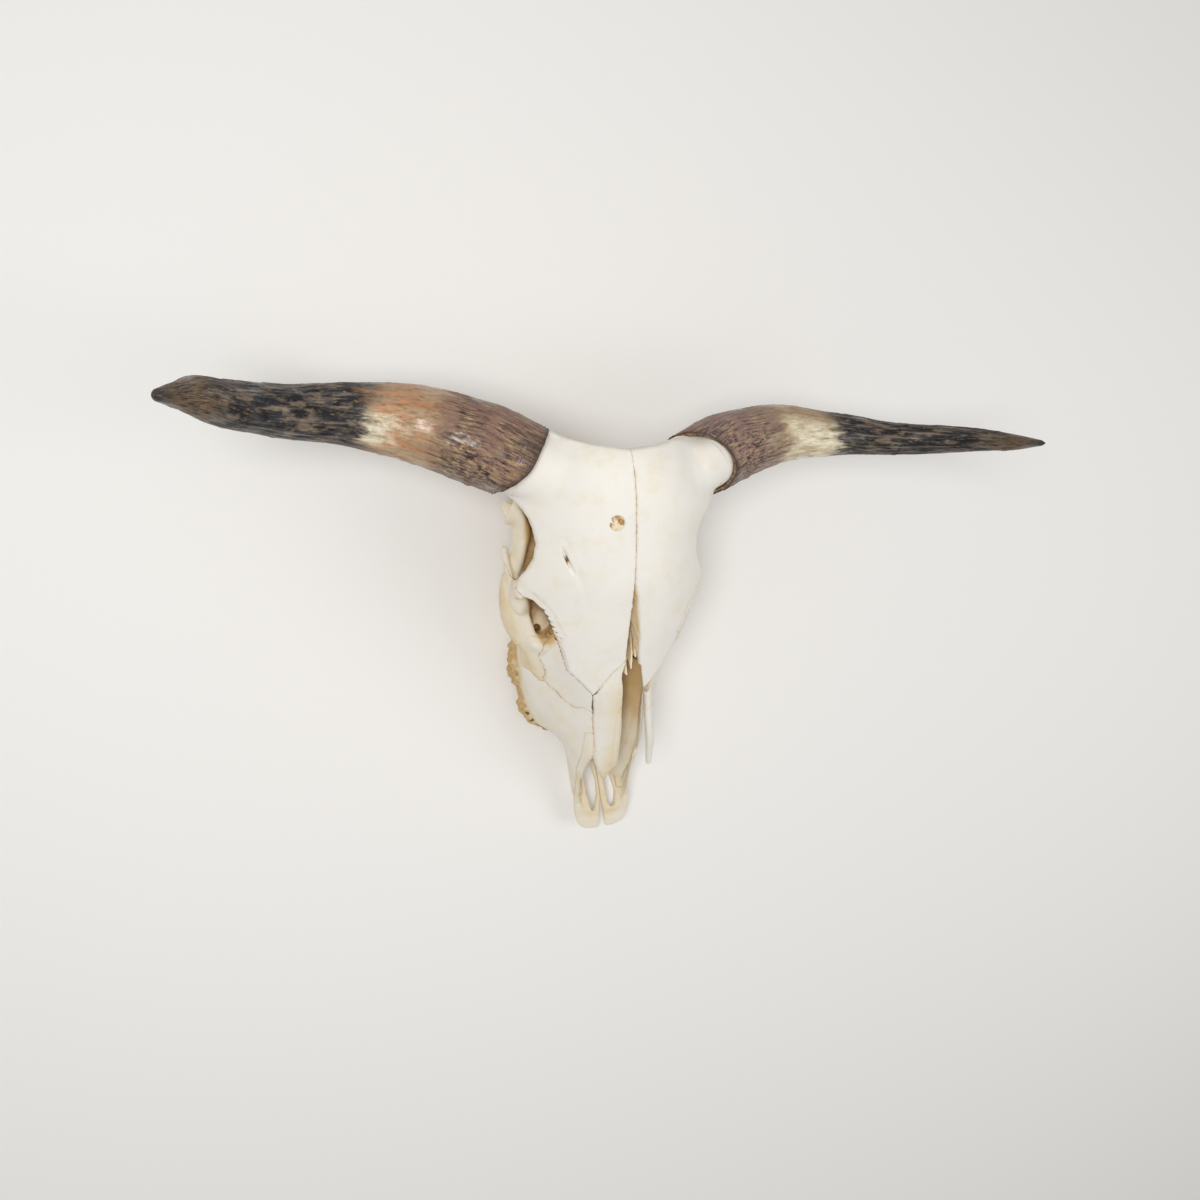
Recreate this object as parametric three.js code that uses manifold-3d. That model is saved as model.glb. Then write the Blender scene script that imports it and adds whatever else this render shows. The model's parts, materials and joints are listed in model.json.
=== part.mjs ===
import * as THREE from 'three';
import { mergeVertices } from 'three/addons/utils/BufferGeometryUtils.js';
import Module from 'manifold-3d';

// A cow's skull without its lower jaw, lying on its cheek teeth and on the tips of the two
// processes beside its neck joint. Sizes are in millimetres. X runs to the animal's left,
// Y from the snout (0) back to the poll, and Z up from the surface that the skull lies on.
// The whole skull is made as one solid, and the bones are parted from it along their sutures.

const wasm = await Module();
wasm.setup();

// ---- Driving dimensions ----

const SUTURE = 0.4;
const WELD = 1e-4;
const LEFT = 1;
const RIGHT = -1;

const SNOUT_REACH = 80;
const SNOUT_FRONT = 1;
const SNOUT_BACK = 282;
const PALATE_UNDERSIDE = 19;
const PALATE_TOP = 27;
// Heights that lie above every bone and under the bones of the roof.
const ABOVE_ALL = 300;
const UNDER_ROOF = 84;

// Height of the midline of the roof, from the snout to the poll.
const roofLine = profile([[0, 30], [60, 74], [104, 102], [150, 125], [200, 149], [238, 168],
  [300, 200], [343, 220], [416, 234], [450, 231], [475, 218]]);
// How far the forehead falls away to the side.
const ROOF_FALL = 55;
const ROOF_FALL_AT = 96;
const ROOF_FALL_POWER = 2.2;
const ROOF_THICKNESS = 24;
const RIM_THICKNESS = 9;
const RIM_AT = 80;
const ROOF_REACH = 112;
const ROOF_FRONT = 196;
const ROOF_BACK = 486;
const ROOF_COLUMNS = 9;
const ROOF_STEPS = 10;

// The snout's section, by its distance from the tip: where the roof turns into the cheek, the
// widest point of the cheek and its height, and the half-width along the tooth row.
const roofEdge = profile([[0, 8], [10, 20], [60, 25], [100, 27], [150, 31], [200, 33], [235, 40], [282, 58]]);
const cheek = profile([[0, 8], [5, 21], [14, 29], [26, 33], [60, 34], [100, 35], [125, 43], [150, 60],
  [190, 76], [235, 86], [282, 90]]);
const cheekHeight = profile([[0, 20], [60, 36], [100, 48], [140, 54], [190, 62], [235, 82], [282, 98]]);
const toothRow = profile([[0, 6], [5, 18], [14, 27], [26, 31], [60, 32], [105, 33], [124, 39], [133, 50],
  [143, 66], [166, 77], [206, 82], [235, 81], [282, 76]]);
const shoulderDrop = profile([[0, 9], [235, 11], [282, 26]]);
const SNOUT_STEPS = 15;
const SNOUT_COLUMNS = 8;
const RING_CROWDING = 1.4;
// The hollow of the nose inside it, and the thickness of the roof over it.
const cavityWidth = profile([[18, 24], [60, 28], [100, 28], [140, 37], [190, 46], [235, 46], [290, 30],
  [332, 20]]);
const cavityFloor = profile([[18, 27], [220, 27], [262, 44], [290, 66], [332, 84]]);
const roofWall = profile([[18, 5], [236, 5], [284, 16], [332, 17]]);
const CAVITY_FRONT = 18;
const CAVITY_BACK = 332;

// The braincase and what lies between the orbits: half-width, underside and top.
const coreWidth = profile([[268, 40], [300, 50], [340, 61], [385, 67], [420, 69], [446, 61]]);
const coreBottom = profile([[268, 70], [300, 58], [340, 50], [400, 45], [446, 50]]);
const coreTop = profile([[268, 160], [300, 178], [340, 198], [400, 208], [446, 202]]);
const CORE_FRONT = 268;
const CORE_BACK = 446;

const ORBIT_CENTRE = [88, 297, 125];
const ORBIT_RADIUS = 32;

// The horns from their base to their tip: points of the centre line and the radius there. The two
// differ a little.
const HORN_LINES = {
  [RIGHT]: [[-86, 449, 185, 39.5], [-124, 471, 166, 40.5], [-180, 493, 156, 37], [-236, 506, 155, 30],
    [-291, 513, 174, 24.5], [-340, 523, 218, 20.5], [-360, 531, 250, 17], [-373, 533, 274, 10.5],
    [-386, 534, 299, 4.5]],
  [LEFT]: [[84, 448, 174, 35], [118, 466, 163, 35], [152, 478, 157, 32.5], [191, 487, 150, 29.5],
    [250, 490, 146, 23], [316, 491, 160, 17.5], [354, 494, 190, 15], [374, 496, 222, 12], [382, 497, 262, 8.5],
    [382, 498, 307, 3]],
};
const HORN_STEPS = 15;
const HORN_SIDES = 12;
// The bony root inside each sheath: its radius, and how far it laps into the sheath.
const PEDICLE_RADIUS = { [RIGHT]: 36, [LEFT]: 33.5 };
const PEDICLE_LAP = 32;
const PEDICLE_START = 0.7;
// How far a sheath's rim reaches outwards: on its upper face, towards the poll, and by how much more
// at its front. The right sheath still reaches in over the bone, and the left one has slid off it.
const RIM_REACH = {
  [RIGHT]: { upper: -10, poll: 0, front: 20 },
  [LEFT]: { upper: 20, poll: -8, front: 0 },
};
const RIM_RINGS = 3;
const RIM_FACE = new THREE.Vector3(-0.27, 0.22, 0.94);
// The left side of the head has grown a little further forward than the right.
const SKEW = 0.15;
const SKEW_FROM = 150;
const SKEW_TO = 270;
// The left cheek and temple are also narrower, by so much at the given distance from the midline.
const templeNarrowing = profile([[140, 0], [190, 9], [240, 12], [285, 3], [335, 7], [385, 8], [412, 0]]);
const TEMPLE_AT = 85;
// The tip of the snout bends to the left.
const SNOUT_BEND = 5;
const SNOUT_BEND_FROM = 110;
const SNOUT_BEND_TO = 30;

// ---- Tools ----

// A smooth function through [position, value] stops, held level outside them.
function profile(stops) {
  const slope = (i) => {
    const before = stops[Math.max(i - 1, 0)];
    const after = stops[Math.min(i + 1, stops.length - 1)];
    return (after[1] - before[1]) / (after[0] - before[0]);
  };
  return (position) => {
    const p = THREE.MathUtils.clamp(position, stops[0][0], stops[stops.length - 1][0]);
    const i = Math.max(stops.findIndex((stop) => stop[0] >= p) - 1, 0);
    const [from, start] = stops[i];
    const [to, end] = stops[i + 1];
    const span = to - from;
    const t = (p - from) / span;
    const ease = t * t * (3 - 2 * t);
    const leave = slope(i) * span * t * (1 - t) * (1 - t);
    const arrive = slope(i + 1) * span * t * t * (1 - t);
    return start + (end - start) * ease + leave - arrive;
  };
}

function signedVolume(positions, index) {
  const a = new THREE.Vector3();
  const b = new THREE.Vector3();
  const c = new THREE.Vector3();
  let volume = 0;
  for (let i = 0; i < index.length; i += 3) {
    a.fromArray(positions, 3 * index[i]);
    b.fromArray(positions, 3 * index[i + 1]);
    c.fromArray(positions, 3 * index[i + 2]);
    volume += a.dot(b.cross(c)) / 6;
  }
  return volume;
}

// Gives an even shape the head's own unevenness: the left side lies further forward and inward
// the further it is from the midline, and the tip of the snout bends.
function skew(geometry) {
  const position = geometry.attributes.position;
  for (let i = 0; i < position.count; i++) {
    const x = Math.max(position.getX(i), 0);
    const y = position.getY(i);
    const bend = SNOUT_BEND * (1 - THREE.MathUtils.smoothstep(y, SNOUT_BEND_TO, SNOUT_BEND_FROM));
    position.setX(i, position.getX(i) + bend - (templeNarrowing(y) * Math.min(x, TEMPLE_AT)) / TEMPLE_AT);
    position.setY(i, y - SKEW * x * THREE.MathUtils.smoothstep(y, SKEW_FROM, SKEW_TO));
  }
}

// A closed geometry as a solid, with its faces turned outwards.
function solid(geometry) {
  const bare = geometry.clone();
  skew(bare);
  bare.deleteAttribute('normal');
  bare.deleteAttribute('uv');
  const merged = mergeVertices(bare, WELD);
  const vertProperties = merged.attributes.position.array;
  const triVerts = Uint32Array.from(merged.index.array);
  if (signedVolume(vertProperties, triVerts) < 0) {
    triVerts.reverse();
  }
  return new wasm.Manifold(new wasm.Mesh({ numProp: 3, vertProperties, triVerts }));
}

function middleOf(ring) {
  const middle = new THREE.Vector3();
  ring.forEach((point) => middle.addScaledVector(point, 1 / ring.length));
  return middle;
}

// A solid skinned over rings that have the same number of points.
function loft(rings) {
  const count = rings[0].length;
  const points = rings.flat();
  const index = [];
  for (let r = 0; r < rings.length - 1; r++) {
    for (let i = 0; i < count; i++) {
      const a = r * count + i;
      const b = r * count + ((i + 1) % count);
      index.push(a, b, b + count, a, b + count, a + count);
    }
  }
  const last = (rings.length - 1) * count;
  const firstMiddle = points.length;
  const lastMiddle = points.length + 1;
  points.push(middleOf(rings[0]), middleOf(rings[rings.length - 1]));
  for (let i = 0; i < count; i++) {
    const next = (i + 1) % count;
    index.push(next, i, firstMiddle, last + i, last + next, lastMiddle);
  }
  const geometry = new THREE.BufferGeometry();
  geometry.setAttribute('position', new THREE.Float32BufferAttribute(points.flatMap((p) => p.toArray()), 3));
  geometry.setIndex(index);
  return solid(geometry);
}

// A loft along Y, with section(y) giving the ring's [x, z] points. Crowding above 1 sets more
// of the rings near its front.
function loftAlongY(from, to, steps, section, crowding = 1) {
  const rings = [];
  for (let s = 0; s <= steps; s++) {
    const y = THREE.MathUtils.lerp(from, to, (s / steps) ** crowding);
    rings.push(section(y).map(([x, z]) => new THREE.Vector3(x, y, z)));
  }
  return loft(rings);
}

// Points of a rounded outline: an ellipse at power 1, squarer as the power falls.
function oval(centreX, centreZ, halfWidth, halfHeight, sides, power = 1) {
  const bend = (value) => Math.sign(value) * Math.abs(value) ** power;
  return Array.from({ length: sides }, (_, i) => {
    const angle = (2 * Math.PI * i) / sides;
    return [centreX + halfWidth * bend(Math.cos(angle)), centreZ + halfHeight * bend(Math.sin(angle))];
  });
}

function ball(centre, radii, columns, rows) {
  const geometry = new THREE.SphereGeometry(1, columns, rows);
  geometry.scale(...radii);
  geometry.translate(...centre);
  return solid(geometry);
}

function box(low, high) {
  const size = high.map((value, i) => value - low[i]);
  const geometry = new THREE.BoxGeometry(...size);
  geometry.translate(...low.map((value, i) => value + size[i] / 2));
  return solid(geometry);
}

// A bar along a smooth line: tall across the line towards `tall`, and its ends rounded off.
function bar(points, halfThick, halfTall, tall, { steps = 6, sides = 8, round = 0.12 } = {}) {
  const line = new THREE.CatmullRomCurve3(points.map((point) => new THREE.Vector3(...point)));
  const upward = new THREE.Vector3(...tall);
  const rings = [];
  for (let s = 0; s <= steps; s++) {
    const t = s / steps;
    const centre = line.getPoint(t);
    const across = line.getTangent(t).cross(upward).normalize();
    const up = across.clone().cross(line.getTangent(t)).normalize();
    const end = Math.min(1, Math.sqrt(Math.min(t, 1 - t) / round + 0.2));
    rings.push(oval(0, 0, halfThick(t) * end, halfTall(t) * end, sides).map(([x, z]) => (
      centre.clone().addScaledVector(across, x).addScaledVector(up, z)
    )));
  }
  return loft(rings);
}

// An outline grown outwards by a distance.
function grow(outline, distance) {
  const anticlockwise = Math.sign(THREE.ShapeUtils.area(outline.map(([x, y]) => new THREE.Vector2(x, y))));
  return outline.map((point, i) => {
    const before = outline[(i + outline.length - 1) % outline.length];
    const after = outline[(i + 1) % outline.length];
    const outward = (a, b) => new THREE.Vector2(b[1] - a[1], a[0] - b[0]).setLength(1)
      .multiplyScalar(anticlockwise);
    const first = outward(before, point);
    const second = outward(point, after);
    const reach = distance / Math.max(1 + first.dot(second), 0.3);
    return [point[0] + reach * (first.x + second.x), point[1] + reach * (first.y + second.y)];
  });
}

// An upright block with the given plan.
function planBlock(outline, low, high) {
  const shape = new THREE.Shape(outline.map(([x, y]) => new THREE.Vector2(x, y)));
  const geometry = new THREE.ExtrudeGeometry(shape, { depth: high - low, bevelEnabled: false });
  geometry.translate(0, 0, low);
  return solid(geometry);
}

// A block across the skull with the given side view of [y, z] points.
function sideBlock(outline, low, high) {
  const shape = new THREE.Shape(outline.map(([y, z]) => new THREE.Vector2(y, z)));
  const geometry = new THREE.ExtrudeGeometry(shape, { depth: high - low, bevelEnabled: false });
  geometry.applyMatrix4(new THREE.Matrix4().makeBasis(
    new THREE.Vector3(0, 1, 0), new THREE.Vector3(0, 0, 1), new THREE.Vector3(1, 0, 0)));
  geometry.translate(low, 0, 0);
  return solid(geometry);
}

const joined = (solids) => solids.reduce((whole, one) => whole.add(one));
const onSide = (side, outline) => outline.map(([x, y]) => [side * x, y]);

// ---- The whole skull ----

function roofHeight(x, y) {
  return roofLine(y) - ROOF_FALL * (Math.abs(x) / ROOF_FALL_AT) ** ROOF_FALL_POWER;
}

function snoutSection(y) {
  const roof = roofHeight(0, y);
  const edge = roofEdge(y);
  const wide = cheek(y);
  const mid = cheekHeight(y);
  const shoulder = roof - shoulderDrop(y);
  const half = new THREE.SplineCurve([
    new THREE.Vector2(0, roof),
    new THREE.Vector2(0.6 * edge, roof - 0.35 * shoulderDrop(y)),
    new THREE.Vector2(edge, shoulder),
    new THREE.Vector2(0.5 * (edge + wide) + 0.05 * wide, 0.54 * shoulder + 0.46 * mid),
    new THREE.Vector2(wide, mid),
    new THREE.Vector2(0.4 * wide + 0.6 * toothRow(y), 0.45 * mid + 0.55 * PALATE_UNDERSIDE),
    new THREE.Vector2(toothRow(y), PALATE_UNDERSIDE),
  ]).getPoints(SNOUT_COLUMNS).map((point) => [point.x, point.y]);
  const mirrored = half.slice(1).reverse().map(([x, z]) => [-x, z]);
  return [...half, [0, PALATE_UNDERSIDE], ...mirrored];
}

function cavitySection(y) {
  const wide = cavityWidth(y);
  const floor = cavityFloor(y);
  const ceiling = roofHeight(0, y) - roofWall(y);
  const middle = 0.5 * (floor + ceiling);
  const slope = Math.min(roofEdge(y) - 3, wide);
  const half = [[0, ceiling], [0.6 * slope, ceiling - 3], [slope, ceiling - 9],
    [0.5 * (slope + wide) + 1, 0.5 * (ceiling + middle)], [wide, middle], [wide - 2, floor + 4],
    [wide - 8, floor]];
  const mirrored = half.slice(1).reverse().map(([x, z]) => [-x, z]);
  return [...half, ...mirrored];
}

// The slab of the roof: its top is the forehead, and it thins towards the sides.
function roofSection(y, extra = 0) {
  const top = [];
  const bottom = [];
  for (let i = 0; i <= ROOF_COLUMNS; i++) {
    const x = THREE.MathUtils.lerp(-ROOF_REACH, ROOF_REACH, i / ROOF_COLUMNS);
    const thickness = THREE.MathUtils.lerp(ROOF_THICKNESS, RIM_THICKNESS, Math.min(Math.abs(x) / RIM_AT, 1));
    top.push([x, roofHeight(x, y)]);
    bottom.push([x, roofHeight(x, y) - thickness - extra]);
  }
  return [...top, ...bottom.reverse()];
}

// Plans of the bones of the roof, on one side: [distance from the midline, y].
const FRONTAL_PLAN = [[0, 460], [34, 467], [62, 476], [80, 484], [100, 480], [104, 424], [94, 408],
  [88, 394], [85, 378], [87, 362], [93, 350], [99, 339], [102, 328], [96, 321], [87, 317], [81, 308],
  [74, 295], [66, 276], [60, 260], [54, 237], [45, 227], [29, 207], [10, 235], [0, 241]];
const FRONTAL_GAP = [[0, 345], [-30, 345], [-30, 200], [21.5, 200], [21, 236], [15, 269], [7, 315]];
const NASAL_PLAN = [[-2, 246], [10, 235], [29, 207], [27, 190], [27, 175], [23, 144], [22, 125], [10, 90],
  [6, 92], [1, 106], [-4, 110], [-4, 160], [0, 190], [2, 225]];
const LACRIMAL_PLAN = [[60, 260], [54, 237], [45, 227], [29, 207], [28, 184], [36, 190], [42, 188], [51, 194],
  [60, 206], [69, 216], [70, 232], [76, 246], [72, 266], [66, 276]];
const ZYGOMATIC_PLAN = [[72, 215], [82, 226], [130, 226], [130, 364], [108, 364], [98, 334], [94, 300],
  [60, 280], [76, 246], [70, 232], [69, 216]];
const ZYGOMATIC_LOW = 60;
const ZYGOMATIC_HIGH = 158;
const MAXILLA_PLAN = [[SUTURE / 2, -10], [120, -10], [120, 268], [50, 268], [28, 236], [SUTURE / 2, 232]];
const MAXILLA_LOW = -5;
const MAXILLA_HIGH = 170;
// The place that the left nasal bone has slipped out of.
const EMPTY_NASAL_PLAN = [[-4, 241], [21, 241], [30, 207], [30, 100], [-6, 90]];
const EMPTY_NASAL_FLOOR = 96;
// Side view of the seam between the premaxilla and the maxilla, and of the open front of the nose.
const PREMAXILLA_SIDE = [[-10, 10], [42, 10], [50, 30], [72, 46], [97, 65], [121, 93], [137, 105], [157, 118],
  [157, 160], [-10, 160]];
const NOSE_OPENING_SIDE = [[-10, 22], [20, 27], [40, 34], [72, 58], [97, 80], [121, 103], [132, 116],
  [132, 180], [-10, 180]];

function premaxillaGaps() {
  const gapTop = 60;
  const notch = [[-5, -10], [5, -10], [4, 14], [1, 34], [-1, 34], [-4, 14]];
  const fissure = [[8, 26], [15, 26], [20, 44], [20, 70], [14, 88], [5, 78], [6, 50]];
  return joined([notch, onSide(LEFT, fissure), onSide(RIGHT, fissure)]
    .map((plan) => planBlock(plan, 0, gapTop)));
}

// The broken edge of the jaw where the right front teeth are missing.
function emptySockets() {
  const row = [132, 140, 150, 164, 178].map((y) => [2 - toothRow(y), y, 13]);
  return bar(row, () => 6, () => 8, [0, 0, 1], { steps: 4, sides: 6, round: 0.05 });
}

function toothRowOf(side) {
  // Each cheek tooth: its length along the row and its width.
  const crowns = [[15, 12], [18, 15], [18, 17], [24, 20], [27, 21], [29, 20]];
  const missing = side === RIGHT ? [0, 1, 2] : [];
  const rowFront = 130;
  const gapBetween = 0.8;
  const teeth = [];
  let y = rowFront;
  crowns.forEach(([length, width], i) => {
    const middle = y + length / 2;
    const x = side * (toothRow(middle) - width / 2 - 1);
    const ring = (scale, z) => oval(x, middle, (width / 2) * scale, (length / 2) * scale, 8, 0.6)
      .map(([px, py]) => new THREE.Vector3(px, py, z));
    if (!missing.includes(i)) {
      teeth.push(loft([ring(0.92, 0), ring(1, 8), ring(0.96, PALATE_UNDERSIDE + 3)]));
    }
    y += length + gapBetween;
  });
  return joined(teeth);
}

function cheekSide(side) {
  const lowerRim = bar([[side * 66, 252, 112], [side * 82, 261, 105], [side * 92, 280, 99],
    [side * 95, 304, 98], [side * 94, 328, 106]], () => 6, (t) => 16 + 5 * Math.sin(Math.PI * t),
  [-side * 0.7, -0.2, 1], { round: 0.05 });
  const frontPost = bar([[side * 96, 312, 108], [side * 97, 324, 126], [side * 97, 328, 150]],
    () => 6, () => 10, [0, 1, 0.2], { steps: 3, sides: 6 });
  const backTip = bar([[side * 97, 312, 104], [side * 99, 340, 106], [side * 101, 362, 110]],
    () => 4, (t) => 13 - 7 * t, [0, 0, 1], { steps: 3, sides: 6 });
  const arch = bar([[side * 95, 340, 103], [side * 86, 362, 107], [side * 83, 382, 111],
    [side * 91, 402, 115], [side * 95, 420, 117], [side * 74, 433, 113]],
  (t) => 8 + 2 * t, (t) => 11 + 4 * Math.sin(Math.PI * t),
  [-side * 0.25, 0, 1], { steps: 9 });
  const jawJoint = bar([[side * 88, 398, 90], [side * 68, 400, 84], [side * 50, 398, 80]], () => 11, () => 9,
    [0, 0, 1], { steps: 3, sides: 6 });
  const orbitFloor = ball([side * 73, 286, 85], [19, 34, 20], 8, 5);
  const templeFloor = ball([side * 64, 352, 82], [26, 54, 22], 8, 5);
  return joined([lowerRim, frontPost, backTip, arch, jawJoint, orbitFloor, templeFloor]);
}

// The bony root of a horn, which its sheath fits over.
function pedicle(side, extra = 0) {
  const start = new THREE.Vector3(side * 44, 434, 184);
  const [base, next] = HORN_LINES[side].map(([x, y, z]) => new THREE.Vector3(x, y, z));
  const end = base.clone().addScaledVector(next.sub(base).normalize(), PEDICLE_LAP);
  const line = [start, start.clone().lerp(end, 0.5), end].map((point) => point.toArray());
  const radius = (t) => PEDICLE_RADIUS[side] * THREE.MathUtils.lerp(PEDICLE_START, 1, t) + extra;
  return bar(line, radius, radius, [0, 0, 1], { steps: 3, sides: 12, round: 0.001 });
}

function neckEnd() {
  const half = [[0, 212], [50, 206], [78, 184], [97, 140], [99, 112], [82, 92], [56, 66], [30, 52], [0, 48]];
  const outline = half.concat(onSide(RIGHT, half).slice(1, -1).reverse());
  const middleY = 431;
  const middleZ = 130;
  const halfThick = 15;
  const occiput = loftAlongY(middleY - halfThick, middleY + halfThick, 2, (y) => {
    const spread = 1 - 0.1 * ((y - middleY) / halfThick) ** 2;
    return outline.map(([x, z]) => [x * spread, middleZ + (z - middleZ) * spread]);
  });
  const parts = [occiput];
  for (const side of [LEFT, RIGHT]) {
    const condyle = ball([side * 30, 440, 64], [17, 15, 23], 8, 5);
    const earCapsule = ball([side * 35, 396, 55], [14, 20, 21], 8, 4);
    const ring = ([z, halfX, halfY, middle]) => oval(side * 60, middle, halfX, halfY, 8)
      .map(([x, y]) => new THREE.Vector3(x, y, z));
    const shank = [[0, 6, 7, 431], [20, 7, 10, 430], [50, 9, 14, 428], [90, 17, 15, 428]];
    parts.push(condyle, earCapsule, loft(shank.map(ring)));
  }
  const canal = loftAlongY(410, 470, 1, () => oval(0, 74, 17, 18, 8));
  return joined(parts).subtract(canal);
}

function nosePlates() {
  const septum = box([-1.5, 196, PALATE_TOP - 3], [1.5, 336, 128]);
  const plate = (x, front, top) => box([x - 1, front, 100], [x + 1, 338, top]);
  const wing = (side) => sideBlock([[238, 60], [252, 24], [300, 20], [330, 40], [336, 90], [262, 90]],
    side * 23 - 3, side * 23 + 3);
  const plates = [plate(5, 246, 146), plate(10, 262, 152), plate(15, 280, 158)];
  return joined([septum, ...plates, wing(LEFT), wing(RIGHT)]);
}

function wholeSkull() {
  const snout = loftAlongY(SNOUT_FRONT, SNOUT_BACK, SNOUT_STEPS, snoutSection, RING_CROWDING);
  const roofPlan = FRONTAL_PLAN.concat(onSide(RIGHT, FRONTAL_PLAN).slice(1, -1).reverse());
  const roof = loftAlongY(ROOF_FRONT, ROOF_BACK, ROOF_STEPS, (y) => roofSection(y))
    .intersect(planBlock(roofPlan, 0, ABOVE_ALL));
  const core = loftAlongY(CORE_FRONT, CORE_BACK, 6, (y) => (
    oval(0, 0.5 * (coreTop(y) + coreBottom(y)), coreWidth(y), 0.5 * (coreTop(y) - coreBottom(y)), 12, 0.7)
  ));
  const cavity = loftAlongY(CAVITY_FRONT, CAVITY_BACK, 6, cavitySection);
  const orbit = (side) => ball([side * ORBIT_CENTRE[0], ORBIT_CENTRE[1], ORBIT_CENTRE[2]],
    [ORBIT_RADIUS, ORBIT_RADIUS, ORBIT_RADIUS], 10, 6);
  const belowTheGround = box([-500, -50, -60], [500, 600, 0]);
  return snout.add(roof).add(core).add(neckEnd())
    .subtract(cavity)
    .subtract(orbit(LEFT)).subtract(orbit(RIGHT))
    .add(cheekSide(LEFT)).add(cheekSide(RIGHT))
    .add(pedicle(LEFT)).add(pedicle(RIGHT))
    .add(toothRowOf(LEFT)).add(toothRowOf(RIGHT)).add(emptySockets())
    .add(nosePlates())
    .subtract(hornSheath(LEFT, SUTURE)).subtract(hornSheath(RIGHT, SUTURE))
    .subtract(premaxillaGaps())
    .subtract(belowTheGround);
}

// ---- Parting the bones ----

// Takes the piece inside a region off the stock, and leaves the width of a suture around it.
function part(stock, region, wider) {
  return { piece: stock.intersect(region), rest: stock.subtract(wider) };
}

// All that lies above the underside of the roof's slab, inside a plan.
function roofRegion(outline, extra) {
  const raise = 40;
  const section = (y) => roofSection(y, extra).map(([x, z], i) => [x, i <= ROOF_COLUMNS ? z + raise : z]);
  return loftAlongY(ROOF_FRONT, ROOF_BACK, ROOF_STEPS, section).intersect(planBlock(outline, 0, ABOVE_ALL));
}

function hornSheath(side, extra = 0) {
  const stops = HORN_LINES[side];
  const line = new THREE.CatmullRomCurve3(stops.map(([x, y, z]) => new THREE.Vector3(x, y, z)));
  const radius = profile(stops.map((stop, i) => [i / (stops.length - 1), stop[3]]));
  const reach = RIM_REACH[side];
  const face = RIM_FACE.clone();
  const rings = [];
  for (let s = 0; s <= HORN_STEPS; s++) {
    const t = s / HORN_STEPS;
    const along = line.getTangent(t);
    face.addScaledVector(along, -face.dot(along)).normalize();
    const poll = along.clone().cross(face).multiplyScalar(-side);
    const centre = line.getPoint(t).addScaledVector(along, s === 0 ? -extra : 0);
    const nearRim = Math.max(1 - s / RIM_RINGS, 0);
    rings.push(oval(0, 0, 1, 1, HORN_SIDES).map(([up, back]) => {
      const shift = reach.upper * up + reach.poll * back + reach.front * Math.min(back, 0) ** 2;
      return centre.clone().addScaledVector(face, (radius(t) + extra) * up)
        .addScaledVector(poll, (radius(t) + extra) * back).addScaledVector(along, nearRim * shift);
    }));
  }
  return loft(rings);
}

function displacedNasal() {
  const line = new THREE.CatmullRomCurve3([new THREE.Vector3(28, 232, 163), new THREE.Vector3(32, 206, 152),
    new THREE.Vector3(37, 160, 134), new THREE.Vector3(40, 109, 108)]);
  const across = new THREE.Vector3(0.45, 0, -0.9).normalize();
  const halfWidth = profile([[0, 5], [0.2, 10], [0.6, 12], [0.85, 9], [1, 3]]);
  const rings = [];
  for (let s = 0; s <= 8; s++) {
    const t = s / 8;
    const out = line.getTangent(t).cross(across).normalize();
    rings.push(oval(0, 0, halfWidth(t), 2, 10).map(([x, z]) => (
      line.getPoint(t).addScaledVector(across, x).addScaledVector(out, z)
    )));
  }
  return loft(rings);
}

// The biggest connected body of a solid, as a geometry.
function mainBody(whole) {
  const { vertProperties, triVerts } = whole.getMesh();
  const parent = Array.from({ length: vertProperties.length / 3 }, (_, i) => i);
  const root = (i) => {
    let r = i;
    while (parent[r] !== r) {
      parent[r] = parent[parent[r]];
      r = parent[r];
    }
    return r;
  };
  for (let t = 0; t < triVerts.length; t += 3) {
    parent[root(triVerts[t + 1])] = root(triVerts[t]);
    parent[root(triVerts[t + 2])] = root(triVerts[t]);
  }
  const bodies = new Map();
  for (let t = 0; t < triVerts.length; t += 3) {
    const key = root(triVerts[t]);
    bodies.set(key, [...(bodies.get(key) ?? []), triVerts[t], triVerts[t + 1], triVerts[t + 2]]);
  }
  const index = [...bodies.values()].reduce((best, one) => (one.length > best.length ? one : best));
  const geometry = new THREE.BufferGeometry();
  geometry.setAttribute('position', new THREE.BufferAttribute(vertProperties, 3));
  geometry.setIndex(index);
  return geometry;
}

const BONE = { color: 0xeae2cf, roughness: 0.62, metalness: 0 };
const HORN = { color: 0x5b4a40, roughness: 0.38, metalness: 0 };

const skull = new THREE.Group();

function place(name, whole, finish) {
  const geometry = mainBody(whole);
  geometry.computeVertexNormals();
  const mesh = new THREE.Mesh(geometry, new THREE.MeshStandardMaterial(finish));
  mesh.name = name;
  skull.add(mesh);
}

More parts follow.
